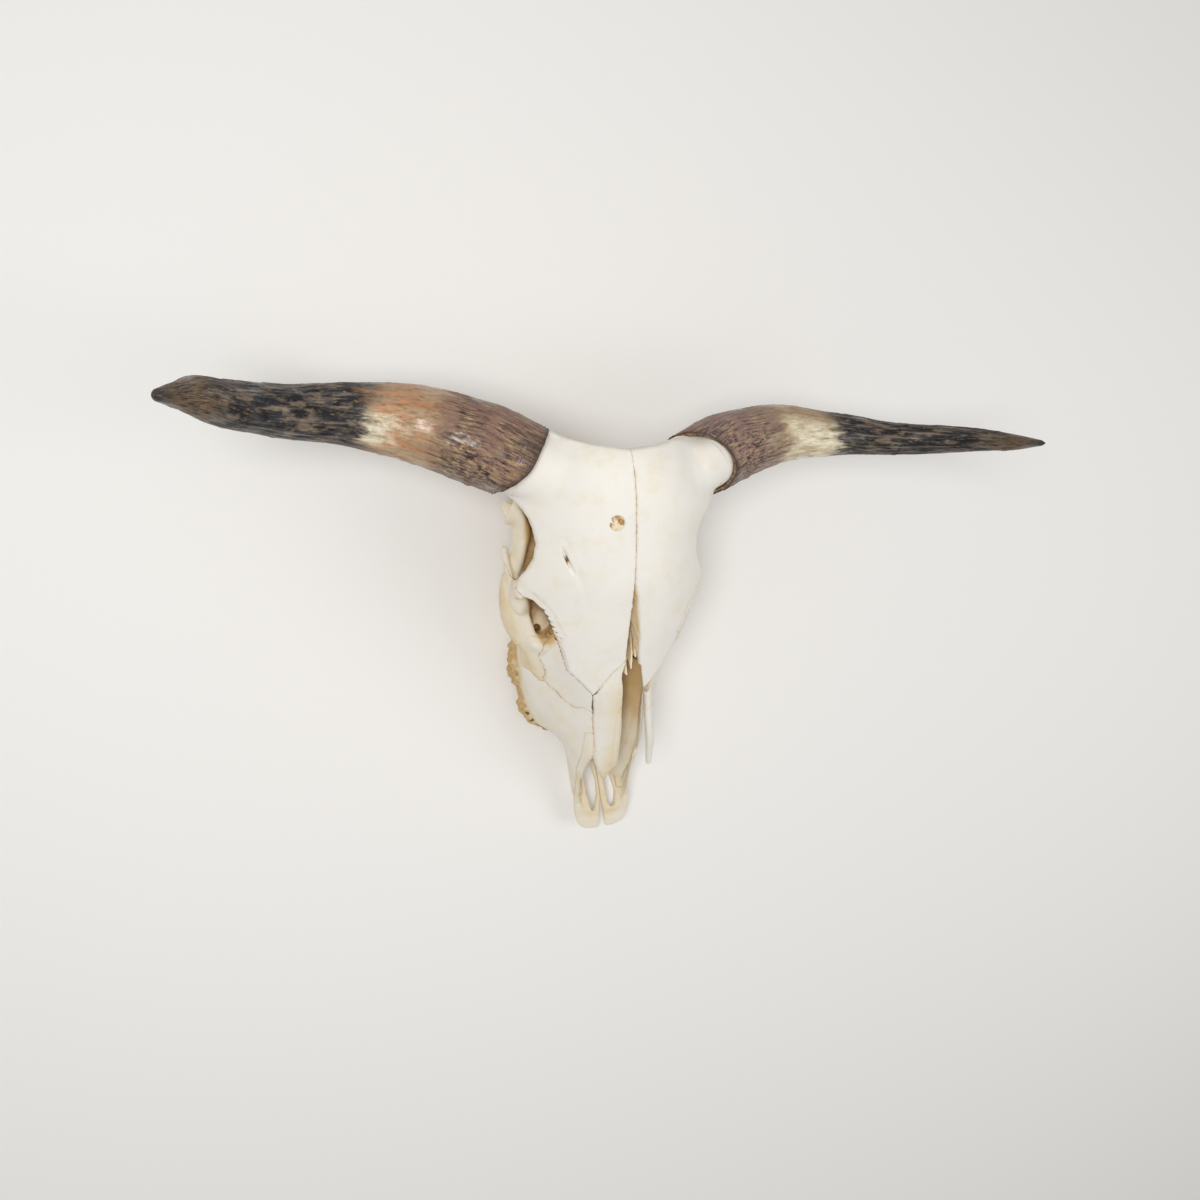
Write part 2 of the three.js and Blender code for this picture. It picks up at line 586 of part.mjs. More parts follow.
function buildSkull() {
  const sideName = { [LEFT]: 'left', [RIGHT]: 'right' };
  let stock = wholeSkull();

  // The nasal bones: the right one in place, the left one's place empty, as it has slipped out.
  const nasalPlan = onSide(RIGHT, NASAL_PLAN);
  const nasal = part(stock, planBlock(nasalPlan, UNDER_ROOF, ABOVE_ALL),
    planBlock(grow(nasalPlan, SUTURE), UNDER_ROOF, ABOVE_ALL));
  place('nasal_right', nasal.piece, BONE);
  stock = nasal.rest
    .subtract(planBlock(EMPTY_NASAL_PLAN, EMPTY_NASAL_FLOOR, ABOVE_ALL))
    .subtract(sideBlock(NOSE_OPENING_SIDE, -SNOUT_REACH, SNOUT_REACH));

  for (const side of [RIGHT, LEFT]) {
    const name = sideName[side];
    const frontalPlan = onSide(side, FRONTAL_PLAN);
    const frontal = part(stock, roofRegion(frontalPlan, 0).add(pedicle(side, 1)),
      roofRegion(grow(frontalPlan, SUTURE), SUTURE).add(pedicle(side, 1 + SUTURE)));
    if (side === LEFT) {
      const besideFrontal = planBlock(grow(frontalPlan, SUTURE), 0, ABOVE_ALL);
      place('nasal_left', displacedNasal().subtract(besideFrontal), BONE);
      place('frontal_left', frontal.piece.subtract(planBlock(FRONTAL_GAP, 0, ABOVE_ALL)), BONE);
    } else {
      place('frontal_right', frontal.piece, BONE);
    }
    stock = frontal.rest;

    const lacrimalPlan = onSide(side, LACRIMAL_PLAN);
    const lacrimal = part(stock, planBlock(lacrimalPlan, UNDER_ROOF, ABOVE_ALL),
      planBlock(grow(lacrimalPlan, SUTURE), UNDER_ROOF - SUTURE, ABOVE_ALL));
    place(`lacrimal_${name}`, lacrimal.piece, BONE);
    stock = lacrimal.rest;

    const zygomaticPlan = onSide(side, ZYGOMATIC_PLAN);
    const zygomatic = part(stock, planBlock(zygomaticPlan, ZYGOMATIC_LOW, ZYGOMATIC_HIGH),
      planBlock(grow(zygomaticPlan, SUTURE), ZYGOMATIC_LOW - SUTURE, ZYGOMATIC_HIGH + SUTURE));
    place(`zygomatic_${name}`, zygomatic.piece, BONE);
    stock = zygomatic.rest;
  }

  for (const side of [RIGHT, LEFT]) {
    const name = sideName[side];
    const reach = (gap) => (side === LEFT ? [gap, SNOUT_REACH] : [-SNOUT_REACH, -gap]);
    const premaxilla = part(stock, sideBlock(PREMAXILLA_SIDE, ...reach(SUTURE / 2)),
      sideBlock(grow(PREMAXILLA_SIDE, SUTURE), ...reach(-SUTURE / 2)));
    place(`premaxilla_${name}`, premaxilla.piece, BONE);
    stock = premaxilla.rest;
    const maxillaPlan = onSide(side, MAXILLA_PLAN);
    const maxilla = part(stock, planBlock(maxillaPlan, MAXILLA_LOW, MAXILLA_HIGH),
      planBlock(grow(maxillaPlan, SUTURE), MAXILLA_LOW, MAXILLA_HIGH + SUTURE));
    place(`maxilla_${name}`, maxilla.piece, BONE);
    stock = maxilla.rest;
  }

  for (const side of [RIGHT, LEFT]) {
    place(`horn_sheath_${sideName[side]}`, hornSheath(side), HORN);
  }
  place('braincase', stock, BONE);
}

buildSkull();

// The origin lies under the middle of the skull, on the surface that it rests on.
const bounds = new THREE.Box3().setFromObject(skull);
const middle = bounds.getCenter(new THREE.Vector3());
skull.position.set(-middle.x, -middle.y, -bounds.min.z);

export default skull;
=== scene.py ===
import json
import math

import bmesh
import bpy
import numpy as np
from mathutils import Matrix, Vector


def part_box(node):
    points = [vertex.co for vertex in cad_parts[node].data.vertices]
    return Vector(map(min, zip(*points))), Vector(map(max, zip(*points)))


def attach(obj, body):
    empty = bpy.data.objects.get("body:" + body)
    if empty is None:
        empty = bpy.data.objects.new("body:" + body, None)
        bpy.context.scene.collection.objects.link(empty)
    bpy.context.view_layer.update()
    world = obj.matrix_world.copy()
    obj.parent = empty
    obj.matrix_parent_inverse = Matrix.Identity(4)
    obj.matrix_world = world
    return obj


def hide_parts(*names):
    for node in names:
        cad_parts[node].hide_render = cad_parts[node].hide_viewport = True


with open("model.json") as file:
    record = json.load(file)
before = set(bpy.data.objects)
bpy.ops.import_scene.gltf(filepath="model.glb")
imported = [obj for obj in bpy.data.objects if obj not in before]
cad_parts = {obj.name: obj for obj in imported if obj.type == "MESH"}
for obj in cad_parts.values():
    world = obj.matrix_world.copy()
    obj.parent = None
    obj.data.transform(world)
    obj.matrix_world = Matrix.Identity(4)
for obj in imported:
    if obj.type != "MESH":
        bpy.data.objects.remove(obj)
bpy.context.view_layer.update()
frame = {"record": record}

import openvdb
from mathutils import Matrix, Vector

# A cow's skull without its lower jaw. Lengths are in millimetres in the skull's own frame: X to the
# animal's left, Y from the snout back to the poll, Z up from the surface that the skull lies on.
# Each bone is carved as a field of signed distances, and its skin is taken where that is zero. The forms
# are written down for a straight skull, and skewed() bends the finished skins to the head's uneven shape.

RIGHT, LEFT = -1, 1
CELL = 1.3
FAR = 12.0
SKULL_BOX = ((-114, -6, -3), (114, 490, 244))
SUTURE = 0.02
PALATE_UNDERSIDE = 19.0
WALL = 4.0
SIDE_NAMES = {RIGHT: "right", LEFT: "left"}
BULLA = (69, 280, 103)
SOCKET_HOLE = (75, 277)
DRILL_HOLE = (-18, 396)
EYE_SLIT = (-60.5, 361)
# Length and width of each cheek tooth, from the front, and the gap between two of them.
TOOTH_SIZES = [(15, 12), (18, 15), (18, 17), (24, 20), (27, 21), (29, 20)]
FIRST_TOOTH = 130.0
TOOTH_GAP = 0.8
LOST_TEETH = 3
rng = np.random.default_rng(7)


# ---- Curves and noise ----

def profile(stops):
    """A smooth function through (position, value) stops, held level outside them."""
    at, value = np.array(stops, float).T
    first = (value[1] - value[0]) / (at[1] - at[0])
    last = (value[-1] - value[-2]) / (at[-1] - at[-2])
    slope = np.concatenate(([first], (value[2:] - value[:-2]) / (at[2:] - at[:-2]), [last]))

    def curve(position):
        p = np.clip(position, at[0], at[-1])
        i = np.clip(np.searchsorted(at, p) - 1, 0, len(at) - 2)
        span = at[i + 1] - at[i]
        t = (p - at[i]) / span
        ease = t * t * (3 - 2 * t)
        bend = slope[i] * t * (1 - t) ** 2 - slope[i + 1] * t * t * (1 - t)
        return value[i] + (value[i + 1] - value[i]) * ease + span * bend

    return curve


def smoothstep(value, low, high):
    t = np.clip((value - low) / (high - low), 0, 1)
    return t * t * (3 - 2 * t)


def spline(points, count):
    """Points of a Catmull-Rom curve through the given ones."""
    points = np.array(points, float)
    padded = np.vstack((2 * points[0] - points[1], points, 2 * points[-1] - points[-2]))
    t = np.linspace(0, len(points) - 1, count)
    i = np.clip(t.astype(int), 0, len(points) - 2)
    t = (t - i)[:, None]
    a, b, c, d = padded[i], padded[i + 1], padded[i + 2], padded[i + 3]
    second, third = 2 * a - 5 * b + 4 * c - d, 3 * b - a - 3 * c + d
    return 0.5 * (2 * b + (c - a) * t + second * t ** 2 + third * t ** 3)


LATTICE = rng.uniform(-1, 1, (32, 32, 32)).astype(np.float32)


def noise(x, y, z, size):
    """Smooth noise between -1 and 1 with blobs of about the given size."""
    total = 0
    where = []
    for value in (x, y, z):
        scaled = np.asarray(value, np.float32) / size + 1000
        whole = np.floor(scaled).astype(np.int32)
        t = scaled - whole
        where.append((whole, t * t * (3 - 2 * t)))
    (i, u), (j, v), (k, w) = where
    for a in (0, 1):
        for b in (0, 1):
            for c in (0, 1):
                weight = (u if a else 1 - u) * (v if b else 1 - v) * (w if c else 1 - w)
                total = total + weight * LATTICE[(i + a) % 32, (j + b) % 32, (k + c) % 32]
    return total


def rough(x, y, z, size):
    """Noise with finer noise on it."""
    coarse, middle = noise(x, y, z, size) * 0.6, noise(x + 37, y, z, size * 0.45) * 0.3
    return coarse + middle + noise(x, y + 71, z, size * 0.2) * 0.15


# ---- Fields ----

def soft_max(a, b, soft):
    if soft == 0:
        return np.maximum(a, b)
    h = np.clip(0.5 + 0.5 * (a - b) / soft, 0, 1)
    return b + (a - b) * h + soft * h * (1 - h)


def soft_min(a, b, soft):
    return -soft_max(-a, -b, soft)


class Shape:
    """A signed distance within a box: distance(x, y, z) takes arrays that broadcast together."""

    def __init__(self, low, high, distance):
        self.low, self.high, self.distance = np.array(low, float), np.array(high, float), distance


class Field:
    """Signed distances on an even lattice, below zero in the solid."""

    def __init__(self, low, high):
        self.low = np.array(low, float)
        self.values = np.full(np.ceil((np.array(high) - self.low) / CELL).astype(int) + 1, FAR, np.float32)

    def block(self, low, high, margin=0.0):
        first = np.floor((np.array(low) - margin - self.low) / CELL).astype(int)
        last = np.ceil((np.array(high) + margin - self.low) / CELL).astype(int) + 1
        first = np.clip(first, 0, self.values.shape)
        last = np.clip(last, first, self.values.shape)
        axes = [self.low[i] + CELL * np.arange(first[i], last[i]) for i in range(3)]
        where = tuple(slice(a, b) for a, b in zip(first, last))
        return where, axes[0][:, None, None], axes[1][None, :, None], axes[2][None, None, :]

    def add(self, shape, soft=0.0):
        where, x, y, z = self.block(shape.low, shape.high, soft + 2 * CELL)
        self.values[where] = soft_min(self.values[where], shape.distance(x, y, z), soft)

    def cut(self, shape, soft=0.0):
        where, x, y, z = self.block(shape.low, shape.high, soft + 2 * CELL)
        self.values[where] = soft_max(self.values[where], -shape.distance(x, y, z), soft)

    def taken(self, shape, gap=SUTURE, soft=0.2):
        """The part of the solid inside a shape, as a field of its own. The rest keeps a gap to it."""
        where, x, y, z = self.block(shape.low, shape.high, 3 * CELL)
        distance = np.broadcast_to(shape.distance(x, y, z), self.values[where].shape)
        piece = Field((0, 0, 0), (1, 1, 1))
        piece.low = np.array([x.flat[0], y.flat[0], z.flat[0]])
        piece.values = soft_max(self.values[where], distance, soft).astype(np.float32)
        self.values[where] = soft_max(self.values[where], gap - distance, 0.2)
        return piece

    def keep_clear(self, piece, gap=0.3):
        """Takes another solid's room out of this one."""
        first = np.round((piece.low - self.low) / CELL).astype(int)
        where = tuple(slice(a, a + n) for a, n in zip(first, piece.values.shape))
        self.values[where] = np.maximum(self.values[where], gap - piece.values)

    def sample(self, points):
        """The field at some points, between the lattice's values."""
        place = np.clip((points - self.low) / CELL, 0, np.array(self.values.shape) - 1.001)
        whole = place.astype(int)
        t = (place - whole).T
        i, j, k = whole.T
        total = 0
        for a in (0, 1):
            for b in (0, 1):
                for c in (0, 1):
                    weight = (t[0] if a else 1 - t[0]) * (t[1] if b else 1 - t[1]) * (t[2] if c else 1 - t[2])
                    total = total + weight * self.values[i + a, j + b, k + c]
        return total


def outline_distance(outline, a, b):
    """Signed distance from a closed outline in a plane."""
    points = np.array(outline, float)
    nearest = np.float32(1e9)
    inside = np.zeros(np.broadcast(a, b).shape, bool)
    for (a0, b0), (a1, b1) in zip(points, np.roll(points, -1, 0)):
        da, db = a1 - a0, b1 - b0
        t = np.clip(((a - a0) * da + (b - b0) * db) / (da * da + db * db), 0, 1)
        nearest = np.minimum(nearest, (a - a0 - t * da) ** 2 + (b - b0 - t * db) ** 2)
        if b0 != b1:
            inside ^= ((b0 > b) != (b1 > b)) & (a < da * (b - b0) / db + a0)
    return np.where(inside, -1, 1) * np.sqrt(nearest)


def wiggle(a, b, amount=0.9, size=5.0):
    """How far a seam strays from its line, in teeth of bone."""
    return amount * (noise(a, b, 0 * a + 3, size) + 0.6 * noise(a, b, 0 * a + 9, size * 0.45))


def plan_block(outline, low, high, stray=0.0):
    """An upright block. Its sides stray from the outline by a seam's teeth."""
    points = np.array(outline, float)

    def distance(x, y, z):
        a, b = x[:, :, 0], y[:, :, 0]
        moved_a = a + stray * wiggle(a + 0 * b, b + 0 * a)
        moved_b = b + stray * wiggle(b + 50 + 0 * a, a + 0 * b)
        side = outline_distance(outline, moved_a, moved_b)[:, :, None]
        return np.maximum(side, np.maximum(low - z, z - high))

    return Shape((*points.min(0), low), (*points.max(0), high), distance)


def side_block(outline, low, high, stray=0.0):
    """A block across the skull with the given side view of (y, z) points."""
    points = np.array(outline, float)

    def distance(x, y, z):
        a, b = y[0, :, :], z[0, :, :]
        moved_a = a + stray * wiggle(a + 0 * b, b + 0 * a)
        side = outline_distance(outline, moved_a, b + 0 * moved_a)[None, :, :]
        return np.maximum(side, np.maximum(low - x, x - high))

    return Shape((low, *points.min(0)), (high, *points.max(0)), distance)


def ball(centre, radii, power=2.0):
    centre, radii = np.array(centre, float), np.array(radii, float)

    def distance(x, y, z):
        parts = [np.abs((value - c) / r) ** power for value, c, r in zip((x, y, z), centre, radii)]
        return ((parts[0] + parts[1] + parts[2]) ** (1 / power) - 1) * radii.min()

    return Shape(centre - radii, centre + radii, distance)


def bar(points, thick, tall, up, steps=12):
    """A bar with round ends along a smooth line. thick and tall give its half sizes by the way along it."""
    line = spline(points, steps + 1)
    up = np.array(up, float)
    ways = np.linspace(0, 1, steps + 1)
    reach = max(float(np.max(thick(ways))), float(np.max(tall(ways)))) + 1

    def distance(x, y, z):
        nearest = np.float32(1e9)
        for a, b, start, end in zip(line[:-1], line[1:], ways[:-1], ways[1:]):
            along = b - a
            length = np.linalg.norm(along)
            across = np.cross(along, up)
            across = across / np.linalg.norm(across)
            upward = np.cross(across, along) / length
            px, py, pz = x - a[0], y - a[1], z - a[2]
            t = np.clip((px * along[0] + py * along[1] + pz * along[2]) / length ** 2, 0, 1)
            px, py, pz = px - t * along[0], py - t * along[1], pz - t * along[2]
            way = start + (end - start) * t
            half_thick, half_tall = thick(way), tall(way)
            least = np.minimum(half_thick, half_tall)
            u = (px * across[0] + py * across[1] + pz * across[2]) / half_thick
            v = (px * upward[0] + py * upward[1] + pz * upward[2]) / half_tall
            w = (px * along[0] + py * along[1] + pz * along[2]) / length / least
            nearest = np.minimum(nearest, (np.sqrt(u * u + v * v + w * w) - 1) * least)
        return nearest

    return Shape(line.min(0) - reach, line.max(0) + reach, distance)


def level(value):
    """A half size that stays the same all along a bar."""
    return lambda way: value + 0 * way


def leaf(points, across, half_width, half_thick, steps=24):
    """A thin curved plate along a line, lying across it in one direction."""
    return bar(points, half_thick, half_width, across, steps)


def upright(outline, stray=0.0):
    """A block with an outline seen from above, endless up and down."""
    return plan_block(outline, -1000, 1000, stray)


def mirrored(side, points):
    """Points given for the left side, on either side."""
    return [(side * x, y, z) for x, y, z in points]


# ---- The skull's own forms ----

roof_line = profile([(0, 30), (60, 74), (104, 102), (150, 125), (200, 149), (238, 168), (300, 200),
                     (343, 220), (416, 234), (450, 231), (475, 218)])
roof_edge = profile([(0, 8), (10, 20), (60, 25), (100, 27), (150, 31), (200, 33), (235, 40), (282, 58)])
cheek = profile([(0, 8), (5, 21), (14, 29), (26, 33), (60, 34), (100, 35), (125, 43), (150, 60),
                 (190, 76), (235, 86), (282, 90)])
cheek_height = profile([(0, 20), (60, 36), (100, 48), (140, 54), (190, 62), (235, 82), (282, 98)])
tooth_row = profile([(0, 6), (5, 18), (14, 27), (26, 31), (60, 32), (105, 33), (124, 39), (133, 50),
                     (143, 66), (166, 77), (206, 82), (235, 81), (282, 76)])
shoulder_drop = profile([(0, 9), (235, 11), (282, 26)])
cavity_width = profile([(18, 24), (60, 29), (100, 29.5), (140, 37), (190, 46), (235, 46), (290, 30),
                        (332, 20)])
cavity_floor = profile([(18, 27), (220, 27), (262, 44), (290, 66), (332, 84)])
core_width = profile([(268, 40), (300, 50), (340, 61), (385, 67), (420, 69), (446, 61)])
core_bottom = profile([(268, 70), (300, 58), (340, 50), (400, 45), (446, 50)])
core_top = profile([(268, 160), (300, 178), (340, 198), (400, 208), (446, 202)])

# Points of each horn's centre line, with the radius there.
HORN_LINES = {
    RIGHT: [(-86, 449, 185, 39.5), (-124, 471, 166, 40.5), (-180, 493, 156, 37), (-236, 506, 155, 30),
            (-291, 513, 174, 24.5), (-340, 523, 218, 20.5), (-360, 531, 250, 17), (-373, 533, 274, 10.5),
            (-386, 534, 299, 4.5)],
    LEFT: [(84, 448, 174, 35), (118, 466, 163, 35), (152, 478, 157, 32.5), (191, 487, 150, 29.5),
           (250, 490, 146, 23), (316, 491, 160, 17.5), (354, 494, 190, 15), (374, 496, 222, 12),
           (382, 497, 262, 8.5), (382, 498, 307, 3)],
}
PEDICLE_RADIUS = {RIGHT: 36, LEFT: 31.5}
# How far a sheath's rim is moved along the horn, tipwards: on its upper face, towards the poll, in front.
RIM_REACH = {RIGHT: (-10, 0, 20), LEFT: (20, -10, 0)}
RIM_FACE = np.array((-0.27, 0.22, 0.94))
temple_narrowing = profile([(140, 0), (190, 9), (240, 12), (285, 3), (335, 7), (385, 8), (412, 0)])

FRONTAL_PLAN = [(0, 460), (34, 467), (62, 476), (80, 484), (100, 480), (104, 424), (94, 408), (88, 394),
                (85, 378), (87, 362), (93, 350), (99, 339), (102, 328), (96, 321), (87, 317), (81, 308),
                (74, 295), (66, 276), (60, 260), (54, 237), (45, 227), (29, 207), (10, 235), (0, 241)]
FRONTAL_GAP = [(0, 345), (-30, 345), (-30, 200), (21.5, 200), (21, 236), (15, 269), (7, 315)]
NASAL_PLAN = [(-2, 246), (10, 235), (29, 207), (27, 190), (27, 175), (23, 144), (22, 125), (10, 90),
              (6, 92), (1, 106), (-4, 110), (-4, 160), (0, 190), (2, 225)]
LACRIMAL_PLAN = [(60, 260), (54, 237), (45, 227), (29, 207), (28, 184), (36, 190), (42, 188), (51, 194),
                 (60, 206), (69, 216), (70, 232), (76, 246), (72, 266), (66, 276)]
ZYGOMATIC_PLAN = [(72, 215), (82, 226), (130, 226), (130, 364), (108, 364), (98, 334), (86, 324),
                  (72, 308), (60, 280), (76, 246), (70, 232), (69, 216)]
PREMAXILLA_SIDE = [(-10, 10), (42, 10), (50, 30), (72, 46), (97, 65), (121, 93), (137, 105), (157, 118),
                   (157, 160), (-10, 160)]
MAXILLA_PLAN = [(0.2, -10), (0.2, 232), (28, 236), (50, 268), (120, 268), (120, -10)]
PREMAXILLA_PRONGS = [(0.2, -10), (21, -10), (21, 60), (18, 88), (0.2, 88)]
NOSE_OPENING_SIDE = [(-10, 22), (20, 27), (40, 34), (72, 58), (97, 80), (121, 103), (132, 116),
                     (132, 180), (-10, 180)]


def on_side(side, outline):
    return [(side * a, b) for a, b in outline]


def skewed(points):
    """The head's unevenness: its left side is further forward and inward, and its snout bends left."""
    x, y, z = np.array(points, float).T
    outward = np.maximum(x, 0)
    bend = 5 * (1 - smoothstep(y, 30, 110))
    inward = temple_narrowing(y) * np.minimum(outward, 85) / 85
    return np.stack((x + bend - inward, y - 0.15 * outward * smoothstep(y, 150, 270), z), 1)


def roof_height(x, y):
    return roof_line(y) - 55 * (np.abs(x) / 96) ** 2.2


def half_width_table(ys, zs, control):
    """Half-widths of a section that changes along Y. control(y) gives its outline from the top down."""
    table = np.zeros((len(ys), len(zs)))
    for row, y in enumerate(ys):
        curve = spline(control(y), 48)[::-1]
        table[row] = np.interp(zs, np.maximum.accumulate(curve[:, 1]), curve[:, 0])
    return table


def sectioned(low, high, control, top, bottom):
    """A form built from mirrored sections along Y."""

    def distance(x, y, z):
        ys, zs = y[0, :, 0], z[0, 0, :]
        table = half_width_table(ys, zs, control)
        gradient_y, gradient_z = np.gradient(table, CELL)
        steep = np.sqrt(1 + np.minimum(gradient_z ** 2, 30) + np.minimum(gradient_y ** 2, 4))
        side = (np.abs(x) - table[None]) / steep[None]
        upper = np.asarray(top(ys))[None, :, None]
        lower = np.asarray(bottom(ys))[None, :, None]
        inner = np.maximum(z - upper, lower - z)
        return soft_max(np.maximum(side, inner), np.maximum(low[1] - y, y - high[1]), 3.0)

    return Shape(low, high, distance)


def snout_outline(y):
    roof, edge, wide, mid = roof_line(y), roof_edge(y), cheek(y), cheek_height(y)
    drop, row = shoulder_drop(y), tooth_row(y)
    shoulder = roof - drop
    return [(0, roof), (0.6 * edge, roof - 0.35 * drop), (edge, shoulder),
            (0.5 * (edge + wide) + 0.05 * wide, 0.54 * shoulder + 0.46 * mid), (wide, mid),
            (0.4 * wide + 0.6 * row, 0.45 * mid + 0.55 * PALATE_UNDERSIDE), (row, PALATE_UNDERSIDE)]


def cavity_outline(y):
    wide, floor = cavity_width(y), cavity_floor(y)
    ceiling = cavity_ceiling(y)
    middle = 0.5 * (floor + ceiling)
    slope = min(roof_edge(y) - 3, wide)
    return [(0, ceiling), (0.6 * slope, ceiling - 3), (slope, ceiling - 9),
            (0.5 * (slope + wide) + 1, 0.5 * (ceiling + middle)), (wide, middle), (wide - 2, floor + 4),
            (wide - 8, floor)]


def cavity_ceiling(y):
    return roof_line(y) - WALL - np.clip((y - 238) / 4, 0, 12)


def roof_slab(extra=0.0, raised=0.0):
    def distance(x, y, z):
        top = roof_height(x, y)
        thickness = 24 - 15 * np.clip(np.abs(x) / 80, 0, 1)
        return soft_max(z - top - raised, top - thickness - extra - z, 2.0)

    return distance


def braincase_core():
    def distance(x, y, z):
        width = core_width(y)
        middle, tall = 0.5 * (core_top(y) + core_bottom(y)), 0.5 * (core_top(y) - core_bottom(y))
        waist = 1 - 0.16 * np.exp(-((z - 150) / 26) ** 2)
        power = 2.6
        ratio = (np.abs(x / (width * waist)) ** power + np.abs((z - middle) / tall) ** power) ** (1 / power)
        return soft_max((ratio - 1) * np.minimum(width, tall), np.maximum(268 - y, y - 446), 4.0)

    return Shape((-75, 268, 40), (75, 446, 212), distance)


def occiput():
    outline = [(0, 212), (50, 206), (78, 184), (97, 140), (99, 112), (82, 92), (56, 66), (30, 52), (0, 48),
               (-30, 52), (-56, 66), (-82, 92), (-99, 112), (-97, 140), (-78, 184), (-50, 206)]

    def distance(x, y, z):
        side = outline_distance(outline, x[:, :, 0], z[0, :, :].reshape(1, -1))[:, None, :]
        hollow = 6 * np.exp(-((x / 60) ** 2 + ((z - 150) / 34) ** 2))
        crest = 3.0 * np.exp(-(x / 5) ** 2) * (z > 120)
        return soft_max(side, np.maximum(416 - y, y - 446 + hollow - crest), 7.0)

    return Shape((-100, 416, 48), (100, 450, 212), distance)


def pedicle(side, extra=0.0):
    start = np.array((side * 44, 434, 184), float)
    base, following = np.array(HORN_LINES[side][0][:3], float), np.array(HORN_LINES[side][1][:3], float)
    end = base + 44 * (following - base) / np.linalg.norm(following - base)
    radius = PEDICLE_RADIUS[side]

    def half(way):
        return radius * (0.76 + 0.20 * smoothstep(way, 0, 0.5)) + extra

    return bar([start, 0.5 * (start + end), end], half, half, (0, 0, 1), 6)


def horn_frames(side, count):
    """Centres and radii along a horn, its direction, and the directions up from it and to the poll."""
    fine = spline(HORN_LINES[side], 900)
    length = np.concatenate(([0], np.cumsum(np.linalg.norm(np.diff(fine[:, :3], axis=0), axis=1))))
    at = np.linspace(0, length[-1], count)
    centre = np.stack([np.interp(at, length, fine[:, i]) for i in range(3)], 1)
    along = np.gradient(centre, axis=0)
    along /= np.linalg.norm(along, axis=1)[:, None]
    face = np.zeros_like(along)
    upward = RIM_FACE
    for i, direction in enumerate(along):
        upward = upward - direction * (direction @ upward)
        upward = upward / np.linalg.norm(upward)
        face[i] = upward
    return centre, np.interp(at, length, fine[:, 3]), along, face, -side * np.cross(along, face), length[-1]


def rim_shift(side, up, back):
    upper, poll, front = RIM_REACH[side]
    return upper * up + poll * back + front * np.minimum(back, 0) ** 2


def cheek_bars(side):
    """The lower rim of the orbit, its post, the arch behind it and the joint of the jaw."""
    inset = {RIGHT: 0, LEFT: 7}[side]
    rim_line = mirrored(side, [(66, 252, 112), (82, 261, 105), (92, 280, 99), (95, 304, 98), (94, 328, 106)])
    lower_rim = bar(rim_line, level(6), lambda t: 16 + 5 * np.sin(math.pi * t), (-side * 0.7, -0.2, 1))
    post_line = mirrored(side, [(94, 312, 108), (97 - inset, 324, 126), (97 - inset, 328, 150)])
    front_post = bar(post_line, level(5), level(10), (0, 1, 0.2), 6)
    tip_line = mirrored(side, [(95, 312, 104), (99 - inset, 340, 106), (102 - inset, 362, 110)])
    back_tip = bar(tip_line, level(3.5), lambda t: 13 - 8 * t, (0, 0, 1), 6)
    arch_line = mirrored(side, [(92, 340, 103), (86, 362, 107), (83, 382, 111), (91, 402, 115),
                                (95, 420, 117), (74, 433, 113)])
    arch = bar(arch_line, lambda t: 6.5 + 2 * t, lambda t: 10 + 5 * np.sin(math.pi * t),
               (-side * 0.25, 0, 1), 14)
    joint_line = mirrored(side, [(88, 398, 92), (68, 400, 86), (50, 398, 80)])
    jaw_joint = bar(joint_line, level(11), level(9), (0, 0, 1), 6)
    return [(lower_rim, 4), (front_post, 4), (back_tip, 2), (arch, 5), (jaw_joint, 6)]


def neck_forms(side):
    """Condyle, tympanic bulla and paracondylar process."""
    condyle = ball((side * 30, 440, 64), (17, 15, 23))
    bulla = ball((side * 35, 396, 55), (14, 20, 21))

    def shank_distance(x, y, z):
        half_x = profile([(0, 6), (20, 7), (50, 9), (90, 17)])(z)
        half_y = profile([(0, 7), (20, 10), (50, 14), (90, 15)])(z)
        ratio = np.sqrt(((x - side * 60) / half_x) ** 2 + ((y - 430) / half_y) ** 2)
        return soft_max((ratio - 1) * half_x, np.maximum(-z, z - 96), 1.5)

    shank = Shape((side * 60 - 18, 414, 0), (side * 60 + 18, 446, 96), shank_distance)
    return [(condyle, 4), (bulla, 5), (shank, 6)]


def cheek_tooth(side, middle, length, width):
    """One ridged cheek tooth, with worn cups in its chewing face."""
    x0 = side * (float(tooth_row(middle)) - width / 2 - 1)

    def distance(x, y, z):
        flare = 1 - 0.06 * np.clip((8 - z) / 8, 0, 1)
        ridges = 0.9 * np.cos((y - middle) / length * 4 * math.pi)
        u = np.abs(x - x0) / (width / 2 * flare + ridges * 0.6)
        v = np.abs(y - middle) / (length / 2 * flare)
        side_on = ((u ** 3.2 + v ** 3.2) ** (1 / 3.2) - 1) * width / 2
        across = 2.2 * np.exp(-((x - x0) / (width * 0.16)) ** 2)
        cups = across * np.abs(np.sin((y - middle) / length * 2 * math.pi))
        return soft_max(side_on, np.maximum(cups - z, z - 26), 1.2)

    low = (x0 - width / 2 - 1, middle - length / 2, 0)
    return Shape(low, (x0 + width / 2 + 1, middle + length / 2, 26), distance)


def teeth(side):
    """The cheek teeth of one side. The first ones of the right side are lost."""
    forms = []
    y = FIRST_TOOTH
    for i, (length, width) in enumerate(TOOTH_SIZES):
        if side == LEFT or i >= LOST_TEETH:
            forms.append((cheek_tooth(side, y + length / 2, length, width), 0.8))
        y += length + TOOTH_GAP
    return forms


